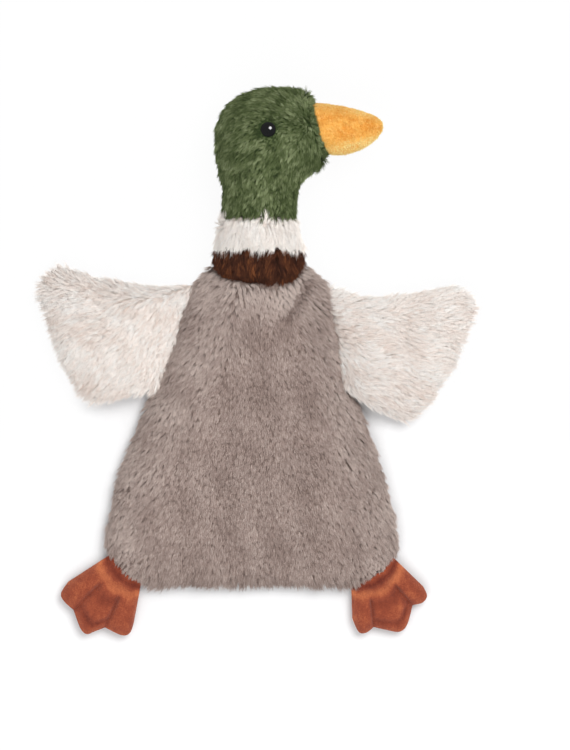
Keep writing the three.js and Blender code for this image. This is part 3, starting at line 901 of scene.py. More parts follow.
@dataclass
class Pile:
    """Tufts of tapered fibres on a cover.

    A strand is rooted at some depth under the skin, bends at its knee from the first angle of the curl to the
    second, and keeps clear of the table.
    """

    name: str
    finish: PileFinish
    slot: str
    nap: Nap
    growth: Callable[[Array, Array], Growth]
    most: int = 32000
    depth: float = 0.35
    knee: tuple[float, float] = (0.42, 0.58)
    curl: tuple[float, float] = (0.22, -0.26)
    clear: float = 0.12
    quick_tufts: float = 0.4
    quick_width: float = 1.6

    def grow(self, skin: Shell) -> list[bpy.types.Object]:
        """Grows the pile.

        Args:
            skin: The cover's final skin.

        Returns:
            The pile's pieces, split so that none is too heavy.
        """
        rng = np.random.default_rng(self.nap.seed)
        nap = self.nap
        places, normals = self._scatter(skin, rng)
        grown = self.growth(places, normals)
        way = unit(grown.way - normals * (grown.way * normals).sum(1, keepdims=True))
        cross = np.cross(normals, way)
        turn = np.radians(nap.wander) * rng.normal(size=(len(places), 1))
        way = way * np.cos(turn) + cross * np.sin(turn)
        cross = np.cross(normals, way)
        facing = np.clip((unit(grown.way) * normals).sum(1), 0.0, 1.0)
        angle = grown.lean + 18.0 * facing**1.5 + 7.0 * rng.normal(size=len(places))
        lean = np.radians(np.clip(angle, 4.0, 85.0))
        under = smoothstep(-normals[:, 2], -0.05, 0.45)
        length = grown.length * rng.uniform(0.82, 1.12, len(places)) * (1.0 - 0.55 * under)
        shade = grown.shade + nap.mottle * (1.0 - 0.6 * grown.loose) * rng.normal(size=len(places))

        count = nap.strands
        many = len(places) * count
        each = np.repeat(np.arange(len(places)), count)
        radius = nap.spread * np.sqrt(rng.random(many))
        angle = 2.0 * math.pi * rng.random(many)
        aside = radius * np.cos(angle)
        ahead = radius * np.sin(angle)
        offset = way[each] * ahead[:, None] + cross[each] * aside[:, None]
        long = length[each] * rng.uniform(0.55, 1.05, many)
        loose = np.broadcast_to(grown.loose, len(places))[each]
        up = lean[each] + np.radians(4.5 + 2.0 * loose) * rng.normal(size=many)
        sway = np.radians(5.0 + 3.0 * loose) * rng.normal(size=many)
        heading = way[each] * np.cos(sway)[:, None] + cross[each] * np.sin(sway)[:, None]
        first, last = (
            heading * np.cos(up + bend)[:, None] + normals[each] * np.sin(up + bend)[:, None]
            for bend in self.curl
        )
        root = places[each] + offset - normals[each] * self.depth
        tight = (nap.gather * (0.35 + 0.65 * np.abs(normals[:, 2])))[each] * (1.0 - loose)
        gather = offset * tight[:, None]
        middle = root + first * (self.knee[0] * long)[:, None] - 0.3 * gather
        tip = middle + last * (self.knee[1] * long)[:, None] - 0.7 * gather
        tone = np.clip(shade[each] + (0.1 + 0.12 * loose) * rng.normal(size=many), 0.03, 0.97)
        order = np.argsort(root[:, 1] + 0.35 * root[:, 0], kind="stable")
        pieces = []
        chunks = np.array_split(order, max(1, math.ceil(many / self.most)))
        for number, chunk in enumerate(chunks, 1):
            lines = np.stack([root[chunk], middle[chunk], tip[chunk]], 1)
            name = f"{self.name}_{number}" if len(chunks) > 1 else self.name
            pieces.append(self._strands(name, lines, normals[each[chunk]], tone[chunk], loose[chunk]))
        LOG.info("%s: %d strands in %d pieces", self.name, many, len(pieces))
        return pieces

    def _scatter(self, skin: Shell, rng: np.random.Generator) -> tuple[Array, Array]:
        """Spreads tufts evenly over the skin.

        Args:
            skin: The skin.
            rng: Seeded random numbers.

        Returns:
            The tufts' places and the skin's normals there.
        """
        normals = skin.normals()
        a, b, c = (skin.points[skin.faces[:, i]] for i in range(3))
        middle = (a + b + c) / 3.0
        facing = unit(np.cross(b - a, c - a))
        area = 0.5 * np.linalg.norm(np.cross(b - a, c - a), axis=1)
        weight = np.cumsum(area * self.growth(middle, facing).thick * self.nap.tufts)
        scale = 1.0
        count = int(weight[-1] * scale)
        marks = (np.arange(count) + rng.random(count)) / count * weight[-1]
        face = np.minimum(np.searchsorted(weight, marks), len(area) - 1)
        s, t = rng.random((2, count, 1))
        root = np.sqrt(s)
        shares = (1.0 - root, root * (1.0 - t), root * t)
        corners = [skin.faces[face, i] for i in range(3)]
        places = sum(w * skin.points[i] for w, i in zip(shares, corners, strict=True))
        return places, unit(sum(w * normals[i] for w, i in zip(shares, corners, strict=True)))

    def _strands(
        self, name: str, lines: Array, normals: Array, tone: Array, loose: Array
    ) -> bpy.types.Object:
        """Makes closed three-sided fibres along bent lines.

        Args:
            name: The piece's name.
            lines: Root, middle and tip of each strand.
            normals: The skin's normal under each strand.
            tone: Each strand's place from dark to light.
            loose: How far each strand stands apart from its tuft; a loose strand's root is painted lighter,
                with less painted shade.

        Returns:
            The piece.
        """
        wide = self.nap.width * 1.0
        many = len(lines)
        along = unit(lines[:, 2] - lines[:, 0])
        cross = unit(np.cross(along, normals))
        rise = np.cross(cross, along)
        ring = [
            lines[:, 1] + 0.5 * wide * (math.cos(turn) * cross + math.sin(turn) * rise)
            for turn in np.radians([90.0, 210.0, 330.0])
        ]
        points = np.stack([lines[:, 0], *ring, lines[:, 2]], 1)
        points[:, :, 2] = np.maximum(points[:, :, 2], self.clear)
        faces = (np.arange(many)[:, None, None] * 5 + STRAND_FACES).reshape(-1, 3)
        piece = make_object(name, points.reshape(-1, 3), faces, self.finish)
        round_way = np.stack([r - lines[:, 1] for r in ring], 1) / (0.5 * wide)
        own = np.maximum(self.nap.round, 1.0 - smoothstep(normals[:, 2], 0.2, 0.75))[:, None, None]
        upper = normals.copy()
        seen = upper[:, 2] > -0.55
        upper[seen, 2] = np.maximum(upper[seen, 2], 0.6)
        shading = np.repeat(unit(upper)[:, None], 5, axis=1)
        shading[:, 1:4] = unit((1.0 - own) * shading[:, 1:4] + own * round_way)
        follow = piece.data.attributes.new("custom_normal", "FLOAT_VECTOR", "POINT")
        follow.data.foreach_set("vector", shading.astype(np.float32).ravel())
        map_uv = np.empty((many, 5, 2), np.float32)
        # loose strands start further along the painted root shade, so their roots are painted lighter
        map_uv[:, :, 0] = STRAND_PLACES + 0.6 * loose[:, None] * np.maximum(0.8 - STRAND_PLACES, 0.0)
        map_uv[:, :, 1] = tone[:, None] + [0.0, -0.006, 0.006, 0.0, 0.0]
        layer = piece.data.uv_layers.new(name="OFBake", do_init=False)
        layer.uv.foreach_set("vector", map_uv.reshape(-1, 2)[faces.ravel()].ravel())
        return piece


def loft(rings: Array, start: Array, end: Array) -> Shell:
    """Closes a stack of rings with a point at each end.

    Args:
        rings: Places, levels by sides by 3.
        start: The point before the first ring.
        end: The point after the last ring.

    Returns:
        The closed shell.
    """
    levels, sides = rings.shape[:2]
    number = np.arange(levels * sides).reshape(levels, sides)
    after = np.roll(number, -1, axis=1)
    a, b, c, d = number[:-1], after[:-1], after[1:], number[1:]
    walls = np.concatenate([np.stack([a, b, c], -1).reshape(-1, 3), np.stack([a, c, d], -1).reshape(-1, 3)])
    first, last = np.full(sides, levels * sides), np.full(sides, levels * sides + 1)
    lids = [np.stack([first, after[0], number[0]], -1), np.stack([last, number[-1], after[-1]], -1)]
    points = np.concatenate([rings.reshape(-1, 3), [start], [end]])
    return Shell(points, np.concatenate([walls, *lids]))


def waves(points: Array, seed: int, scale: float) -> Array:
    """Slow smooth noise of about unit size over the plane.

    Args:
        points: Places in millimetres.
        seed: Picks the pattern.
        scale: Width of a wave in millimetres.

    Returns:
        One value per place.
    """
    rng = np.random.default_rng(seed)
    total = np.zeros(len(points))
    for _ in range(6):
        turn = rng.uniform(0.0, 2.0 * math.pi)
        step = rng.uniform(0.6, 1.6) * 2.0 * math.pi / scale
        along = points[:, 0] * math.cos(turn) + points[:, 1] * math.sin(turn) + 0.7 * points[:, 2]
        total += np.sin(along * step + rng.uniform(0.0, 2.0 * math.pi))
    return total / math.sqrt(3.0)


def thinned_below(normals: Array, share: float) -> Array:
    """The density of pile, less on the side that faces the table."""
    return np.where(normals[:, 2] < -0.3, share, 1.0)


def planar(x: Array, y: Array) -> Array:
    """Directions in the plane of the floor."""
    return np.stack([x, y, np.zeros_like(x)], 1)


def stuffing_for(cover: bpy.types.Object, name: str, depth: float, node: str) -> bpy.types.Object:
    """The loose filling inside a cover.

    Args:
        cover: The cover, already in its final shape.
        name: The filling's name.
        depth: How far it lies below the cover, in millimetres.
        node: The solid that it stands for.

    Returns:
        The filling.
    """
    shell = Shell.of_mesh(cover.data)
    normals = shell.normals()
    tree = BVHTree.FromPolygons(shell.points.tolist(), shell.faces.tolist())
    starts = shell.points - 0.05 * normals
    rays = zip(starts.tolist(), (-normals).tolist(), strict=True)
    thick = [tree.ray_cast(p, n)[3] or 0.0 for p, n in rays]
    lumps = 1.0 + 0.3 * waves(shell.points, 11, 17.0)
    shell.points -= normals * np.minimum(depth * lumps, 0.36 * np.array(thick))[:, None]
    piece = make_object(name, shell.points, shell.faces, STUFFING)
    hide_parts(node)
    return piece


def stuffed(cover: Cover, name: str, depth: float) -> tuple[bpy.types.Object, bpy.types.Object]:
    """Builds a cover in place of two panels, and the stuffing inside it.

    Args:
        cover: The cover; its first three nodes are the panels and their filling.
        name: The stuffing's name.
        depth: How deep the stuffing lies under the cover, in millimetres.

    Returns:
        The cover's piece and the stuffing's.
    """
    front, back, inner = cover.nodes[:3]
    piece = cover.build()
    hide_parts(front, back)
    return piece, stuffing_for(piece, name, depth, inner)


# Sub-assemblies


@dataclass
class Body:
    """The flat stuffed body with its taupe pile."""

    neck: tuple[float, float] = (4.2, 102.0)
    opening: tuple[float, float] = (28.6, 15.0)
    fan: tuple[float, float] = (4.0, 128.0)
    pile: float = 7.4
    crease: tuple[tuple[float, float], tuple[float, float]] = ((33.0, 92.0), (16.0, 62.0))
    corner: tuple[float, float] = (58.0, -66.0)
    nap: Nap = Nap(0.37, 22, 0.27, 1.25, 0.95, 7.0, 21, 0.1)

    def build(self) -> None:
        """Builds the cover, its filling and its pile."""
        nodes = ("body_front_panel", "body_back_panel", "body_filling")
        cover = Cover(
            "body_cover", nodes, TAUPE_GROUND, "taupe_plush", voxel=2.0, inset=0.2, shape=self.folds
        )
        piece, filling = stuffed(cover, "body_stuffing", 2.6)
        pile = Pile("body_pile", TAUPE_PILE, "taupe_plush", self.nap, self.growth).grow(cover.skin)
        for part in (piece, filling, *pile):
            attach(part, "body")

    def folds(self, points: Array, normals: Array) -> Array:
        """Slack folds of the cloth.

        Args:
            points: The skin's points.
            normals: Their normals.

        Returns:
            How far each point moves.
        """
        front = smoothstep(normals[:, 2], 0.2, 0.7)
        x, y = points[:, 0], points[:, 1]
        slow = 0.55 * np.sin((x + 0.15 * y) / 9.0 + 0.6) * smoothstep(y, -70.0, 40.0)
        reach, aside = self.beside_crease(points)
        crease = reach * (-2.8 * hump(aside, 2.2) + 1.6 * hump(aside - 5.0, 5.0))
        near = self.nearness(points)
        pull = -0.24 * (1.0 - smoothstep(near, 1.1, 1.75)) / np.maximum(near, 0.5)
        drop = np.minimum(y - self.neck[1], 0.0)
        across = x - self.neck[0]
        away = np.hypot(np.abs(across) - 30.0, y - 92.0)
        shoulder = 4.0 * hump(away, 11.0)
        hem = 0.6 * smoothstep(-y, 72.0, 92.0) * (1.0 - smoothstep(np.abs(x), 60.0, 80.0))
        flank = 1.2 * smoothstep(np.abs(x), 40.0, 70.0) * (1.0 - smoothstep(y, 10.0, 30.0))
        tuck = 2.6 * self.at_corner(points)
        aside = pull * across + (0.3 * shoulder + flank - tuck) * np.sign(across)
        return np.stack([aside, pull * drop + shoulder + hem + tuck, front * (slow + crease)], 1)

    def at_corner(self, points: Array) -> Array:
        """How far a point lies in one of the two hem corners, from 0 to 1."""
        out = np.minimum(np.abs(points[:, 0]) - self.corner[0], self.corner[1] - points[:, 1])
        return smoothstep(out, 0.0, 16.0)

    def beside_crease(self, points: Array) -> tuple[Array, Array]:
        """Where points lie about the crease below the neckline.

        Args:
            points: Places in millimetres.

        Returns:
            How fully the crease reaches each place, and its distance to the crease's right.
        """
        start, end = np.array(self.crease)
        way = (end - start) / np.linalg.norm(end - start)
        away = points[:, :2] - start
        along = away @ way
        reach = smoothstep(along, -6.0, 4.0) * (1.0 - smoothstep(along, 14.0, 48.0))
        return reach, away @ np.array([-way[1], way[0]])

    def nearness(self, points: Array) -> Array:
        """How near the neck's opening a point is.

        Args:
            points: Places in millimetres.

        Returns:
            1 on its edge and more outside, one value per place.
        """
        across = (points[:, 0] - self.neck[0]) / self.opening[0]
        lower = smoothstep(points[:, 0], -2.0, 12.0) * (1.0 - smoothstep(points[:, 0], 22.0, 31.0))
        down = np.minimum(points[:, 1] - self.neck[1], 0.0) / (self.opening[1] + 3.0 * lower)
        return np.hypot(across, down)

    def growth(self, points: Array, normals: Array) -> Growth:
        """How the body's pile grows.

        Args:
            points: Places on the skin, in millimetres.
            normals: The skin's normals there.

        Returns:
            The growth at those places.
        """
        x, y = points[:, 0], points[:, 1]
        sway = 0.22 * waves(points, 3, 46.0)
        apart = x + 12.0 - 0.12 * (y - 60.0)
        upper = smoothstep(y, 0.0, 45.0)
        split = 30.0 * np.tanh(apart / 4.0) * hump(apart, 15.0) * upper
        way = planar((x - self.fan[0]) * 1.25 + 40.0 * sway + split, y - self.fan[1])
        back = normals[:, 2] < -0.3
        calm = self.calm(points)
        lean = np.where(back, 10.0, 21.0 + 14.0 * calm + 5.0 * waves(points, 5, 30.0))
        short = 0.4 * calm * smoothstep(y, -92.0, -80.0)
        length = self.pile * (1.0 + 0.08 * waves(points, 6, 25.0))
        length *= 1.0 - 0.4 * self.at_corner(points) - short
        shade = 0.64 - 0.23 * calm + 0.05 * waves(points, 7, 36.0)
        # painted shade in the parting: the pile is darker along the line where it parts
        shade -= 0.1 * upper * hump(apart, 2.0)
        shade += 0.12 * (1.0 - smoothstep(self.nearness(points), 1.1, 1.9))
        # painted light and shade across the crease: lighter on the raised side of the fold, darker down in it
        reach, aside = self.beside_crease(points)
        shade += reach * (0.26 * hump(aside + 7.0, 7.0) - 0.42 * hump(aside - 1.5, 3.0))
        thick = thinned_below(normals, 0.5) * (self.nearness(points) > 0.97)
        return Growth(way, lean, length, shade, thick, 0.8 * calm)

    @staticmethod
    def calm(points: Array) -> Array:
        """Where the pile is short and even: a patch that widens from the chest to the hem.

        Args:
            points: Places in millimetres.

        Returns:
            A value from 0 to 1 per place.
        """
        x, y = points[:, 0], points[:, 1]
        half = np.interp(y, [-60.0, 0.0, 60.0], [76.0, 50.0, 24.0])
        middle = np.interp(y, [-60.0, 0.0, 60.0], [0.0, 4.0, 12.0])
        return (1.0 - smoothstep(np.abs(x - middle) / half, 0.55, 1.1)) * (1.0 - smoothstep(y, 55.0, 84.0))


WING_NAP = Nap(0.62, 14, 0.23, 0.9, 0.72, 7.0, 41, 0.15)


@dataclass
class Wing:
    """A cream wing, sewn to the body along a slanted seam."""

    side: Side
    seam: tuple[tuple[float, float], tuple[float, float]]
    nap: Nap
    nook: tuple[float, float]
    pile: float = 8.4
    sewn: float = 12.0
    overlap: float = 4.5
    ease: float = 26.0
    level: float = 6.0
    bend: tuple[float, float] = (-1.5, 7.0)

    @property
    def outward(self) -> Array:
        """Direction in the plane from the seam out along the wing.

        Returns:
            A direction of length one.
        """
        (tx, ty), (bx, by) = self.seam
        along = np.array([bx - tx, by - ty]) / math.hypot(bx - tx, by - ty)
        return np.array([along[1], -along[0]]) * -self.side.value

    def build(self) -> None:
        """Builds the cover, its filling and its pile."""
        word = f"{self.side.word}_wing"
        nodes = (f"{word}_front_panel", f"{word}_back_panel", f"{word}_filling")
        way = -self.outward
        edge = float(np.dot(way, self.seam[0])) + self.overlap
        seam = Seam((float(way[0]), float(way[1])), edge, self.ease)
        cover = Cover(
            f"{word}_cover",
            nodes,
            CREAM_GROUND,
            "cream_plush",
            voxel=2.0,
            inset=1.3,
            weight=0.12,
            cap=1.2,
            calm=7,
            seams=(seam,),
            shape=self.lift,
        )
        piece, filling = stuffed(cover, f"{word}_stuffing", 1.4)
        sewn = Pile(f"{word}_seam_pile", CREAM_PILE, "cream_plush", self.nap, self.sewn_growth)
        free = Pile(f"{word}_pile", CREAM_PILE, "cream_plush", self.nap, self.free_growth)
        for part in free.grow(cover.skin):
            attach(part, word)
        middle = np.mean(np.array(self.seam), axis=0)
        ends = (middle + away * self.outward for away in self.bend)
        start, end = ((x * MM, y * MM, self.level * MM) for x, y in ends)
        for part in (piece, filling, *sewn.grow(cover.skin)):
            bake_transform(part)
            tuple(start)
            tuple(end)

    def lift(self, points: Array, normals: Array) -> Array:
        """Lays the wing out: its corner by the body stands off the table, its upper edge is drawn up.

        Args:
            points: The skin's points.
            normals: Their normals; not used.

        Returns:
            How far each point moves.
        """
        x, y = points[:, 0], points[:, 1]
        away = np.hypot(x - self.nook[0], y - self.nook[1])
        upper = smoothstep(y, 40.0, 78.0)
        if self.side is Side.LEFT:
            up = 2.2 * smoothstep(np.abs(x), 50.0, 80.0) * (1.0 - upper) + 2.4 * upper
            up += 2.8 * upper * (1.0 - smoothstep(np.abs(x), 40.0, 110.0))
            out = -2.6 * smoothstep(np.abs(x), 55.0, 110.0)
        else:
            up = 3.6 * upper
            out = np.zeros_like(x)
        return np.stack([out, up, 7.5 * hump(away, 18.0)], 1)

    def growth(self, points: Array, normals: Array) -> Growth:
        """How the wing's pile grows.

        Args:
            points: Places on the skin, in millimetres.
            normals: The skin's normals there.

        Returns:
            The growth at those places.
        """
        x, y = points[:, 0], points[:, 1]
        sway = 7.0 * waves(points, 31 + self.side.value, 38.0)
        crest = smoothstep(normals[:, 1], 0.12, 0.45)
        if self.side is Side.LEFT:
            angle = np.degrees(np.arctan2(y - 110.0, x + 20.0)) % 360.0 - 50.0 * crest + sway
        else:
            inner = smoothstep((95.0 - x) / 34.0 + (38.0 - y) / 30.0, 0.55, 1.7)
            upper = smoothstep(y, 50.0, 82.0)
            angle = -12.0 + 14.0 * upper - 46.0 * inner + 1.4 * sway + 22.0 * crest
        way = planar(np.cos(np.radians(angle)), np.sin(np.radians(angle)))
        back = normals[:, 2] < -0.3
        lean = np.where(back, 12.0, 19.0 + 4.0 * waves(points, 35, 22.0))
        rim = 1.0 - np.abs(normals[:, 2])
        length = self.pile * (1.0 + 0.1 * waves(points, 36, 20.0)) * (1.0 - 0.36 * rim)
        # painted light: the pile is lighter on the rim of the wing
        shade = 0.55 + 0.07 * waves(points, 37, 24.0) + 0.22 * rim
        return Growth(way, lean, length, shade, thinned_below(normals, 0.55))

    def by_seam(self, points: Array) -> Array:
        """Which points lie within the sewn width of the seam."""
        return (points[:, :2] - np.array(self.seam[0])) @ self.outward < self.sewn

    def sewn_growth(self, points: Array, normals: Array) -> Growth:
        """The part of the pile near the seam."""
        grown = self.growth(points, normals)
        return replace(grown, thick=grown.thick * self.by_seam(points))

    def free_growth(self, points: Array, normals: Array) -> Growth:
        """The part of the pile that swings with the wing."""
        grown = self.growth(points, normals)
        return replace(grown, thick=grown.thick * ~self.by_seam(points))


@dataclass
class Neck:
    """The brown chest band and the white neck ring."""

    middle: float = 4.2
    hinge: float = 102.0
    band_top: float = 109.2
    top: float = 127.2
    half: tuple[float, float] = (28.6, 23.6)
    depth: tuple[float, float] = (15.0, 19.0)
    height: tuple[float, float] = (16.0, 25.65)
    inset: float = 2.0
    sides: int = 72
    parting: float = 8.4
    opening: float = 15.0
    twist: tuple[tuple[float, float], tuple[float, float]] = ((112.0, 21.0), (127.2, 25.5))
    ring_nap: Nap = Nap(0.64, 13, 0.25, 0.9, 0.66, 8.0, 51)
    band_nap: Nap = Nap(0.7, 12, 0.27, 0.95, 0.5, 11.0, 52)

    def build(self) -> None:
        """Builds the two covers, the filling and the pile."""
        ring = Cover("neck_ring_cover", (), WHITE_GROUND, "white_plush", cap=0.8, rest=0.4)
        ring.base = self.tube(self.band_top, self.top)
        band = Cover("chest_band_cover", (), BROWN_GROUND, "brown_plush", cap=0.8, rest=0.4)
        band.base = self.tube(None, self.band_top)
        ring_piece, band_piece = ring.build(), band.build()
        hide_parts("neck_ring")
        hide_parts("chest_band")
        filling = stuffing_for(ring_piece, "neck_stuffing", 1.6, "neck_filling")
        ring_pile = Pile("neck_ring_pile", WHITE_PILE, "white_plush", self.ring_nap, self.ring_growth)
        band_pile = Pile("chest_band_pile", BROWN_PILE, "brown_plush", self.band_nap, self.band_growth)
        for part in (band_piece, *band_pile.grow(band.skin)):
            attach(part, "neck")
        low, high = ((self.middle * MM, y * MM, z * MM) for y, z in self.twist)
        for part in (ring_piece, filling, *ring_pile.grow(ring.skin)):
            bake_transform(part)
            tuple(low)
            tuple(high)

    def ring_at(self, y: float, share: float = 1.0) -> Array:
        """The neck's outline at a height.

        Args:
            y: The height; below the hinge the neck rounds off.
            share: Size of the ring against the outline.

        Returns:
            The ring's points.
        """
        up = max(0.0, (y - self.hinge) / (self.top - self.hinge))
        below = min(0.0, y - self.hinge) / (self.depth[0] - self.inset)
        size = share * math.sqrt(max(0.0, 1.0 - below * below))
        half = (self.half[0] + (self.half[1] - self.half[0]) * up - self.inset) * size
        deep = (self.depth[0] + (self.depth[1] - self.depth[0]) * up - self.inset) * size
        turn = np.linspace(0.0, 2.0 * math.pi, self.sides, endpoint=False)
        z = self.height[0] + (self.height[1] - self.height[0]) * up
        across, height = self.middle + half * np.cos(turn), z + deep * np.sin(turn)
        return np.stack([across, np.full(self.sides, y), height], 1)

    def tube(self, low: float | None, high: float) -> Shell:
        """A closed length of neck.

        Args:
            low: Its lower end, or None for the rounded end inside the body.
            high: Its upper end.

        Returns:
            The closed shell.
        """
        caps = (0.35, 0.7, 0.92)
        if low is None:
            radius = self.depth[0] - self.inset
            levels = [self.hinge - radius * math.sin(math.radians(t)) for t in (78, 62, 47, 34, 22, 11)]
            levels += list(np.linspace(self.hinge, high, 5))
            rings = [self.ring_at(y) for y in levels]
            start = np.array([self.middle, self.hinge - radius, self.height[0]])
        else:
            rings = [self.ring_at(low, share) for share in caps]
            rings += [self.ring_at(y) for y in np.linspace(low, high, 9)]
            start = self.ring_at(low).mean(axis=0)
        rings += [self.ring_at(high, share) for share in reversed(caps)]
        return loft(np.stack(rings)[:, ::-1], start, self.ring_at(high).mean(axis=0))

    def _down(self, points: Array, seed: int) -> Array:
        """Pile combed down the neck and out to its sides, with a parting low down.

        Args:
            points: Places in millimetres.
            seed: Picks the pattern of its waves.

        Returns:
            The directions.
        """
        x, y = points[:, 0], points[:, 1]
        aside = x - self.opening
        part = np.sign(aside) * np.exp(-np.abs(aside) / 3.0) * 0.45
        part *= 1.0 - smoothstep(y, 113.0, 118.0)
        fan = 0.3 * (x - self.middle) / self.half[1]
        return planar(0.2 * waves(points, seed, 13.0) + part + fan - 0.06, np.full_like(x, -1.0))

    def ring_growth(self, points: Array, normals: Array) -> Growth:
        """How the ring's pile grows.

        Args:
            points: Places on the skin, in millimetres.
            normals: The skin's normals there.

        Returns:
            The growth at those places.
        """
        y = points[:, 1]
        way = self._down(points, 53)
        notch = hump(points[:, 0] - self.parting, 1.5) * smoothstep(y, 119.0, 126.0)
        notch *= normals[:, 2] > 0.3
        nape = smoothstep(-points[:, 0], 12.0, 17.0) * smoothstep(y, 118.0, 126.0)
        way[:, 1] += 2.2 * np.maximum(notch, nape)
        lean = 20.0 + 5.0 * waves(points, 54, 14.0) + 26.0 * notch + 60.0 * nape * (1.0 - nape)
        rim = 1.0 - np.abs(normals[:, 2])
        length = 8.2 + 0.8 * waves(points, 55, 6.0) + 1.5 * notch + 1.2 * nape
        length *= 1.0 - 0.3 * rim * smoothstep(y, 112.0, 124.0)
        shade = 0.68 + 0.06 * waves(points, 56, 15.0)
        side = np.abs(normals[:, 1]) < 0.6
        thick = side * (y > self.band_top - 1.0) * thinned_below(normals, 0.6)
        return Growth(way, lean, length, shade, thick)

    def band_growth(self, points: Array, normals: Array) -> Growth:
        """How the band's pile grows.

        Args:
            points: Places on the skin, in millimetres.
            normals: The skin's normals there.

        Returns:
            The growth at those places.
        """
        way = self._down(points, 57)
        lean = 22.0 + 5.0 * waves(points, 58, 14.0)
        x = points[:, 0]
        low = smoothstep(x, 0.0, 10.0) * (1.0 - smoothstep(x, 22.0, 30.0))
        length = 5.6 + 0.5 * waves(points, 59, 9.0) + 3.4 * low * (points[:, 1] < self.hinge)
        shade = 0.45 + 0.07 * waves(points, 60, 13.0) + 0.06 * waves(points, 61, 6.0)
        thick = (normals[:, 1] < 0.6) * thinned_below(normals, 0.6)
        return Growth(way, lean, length, shade, thick)


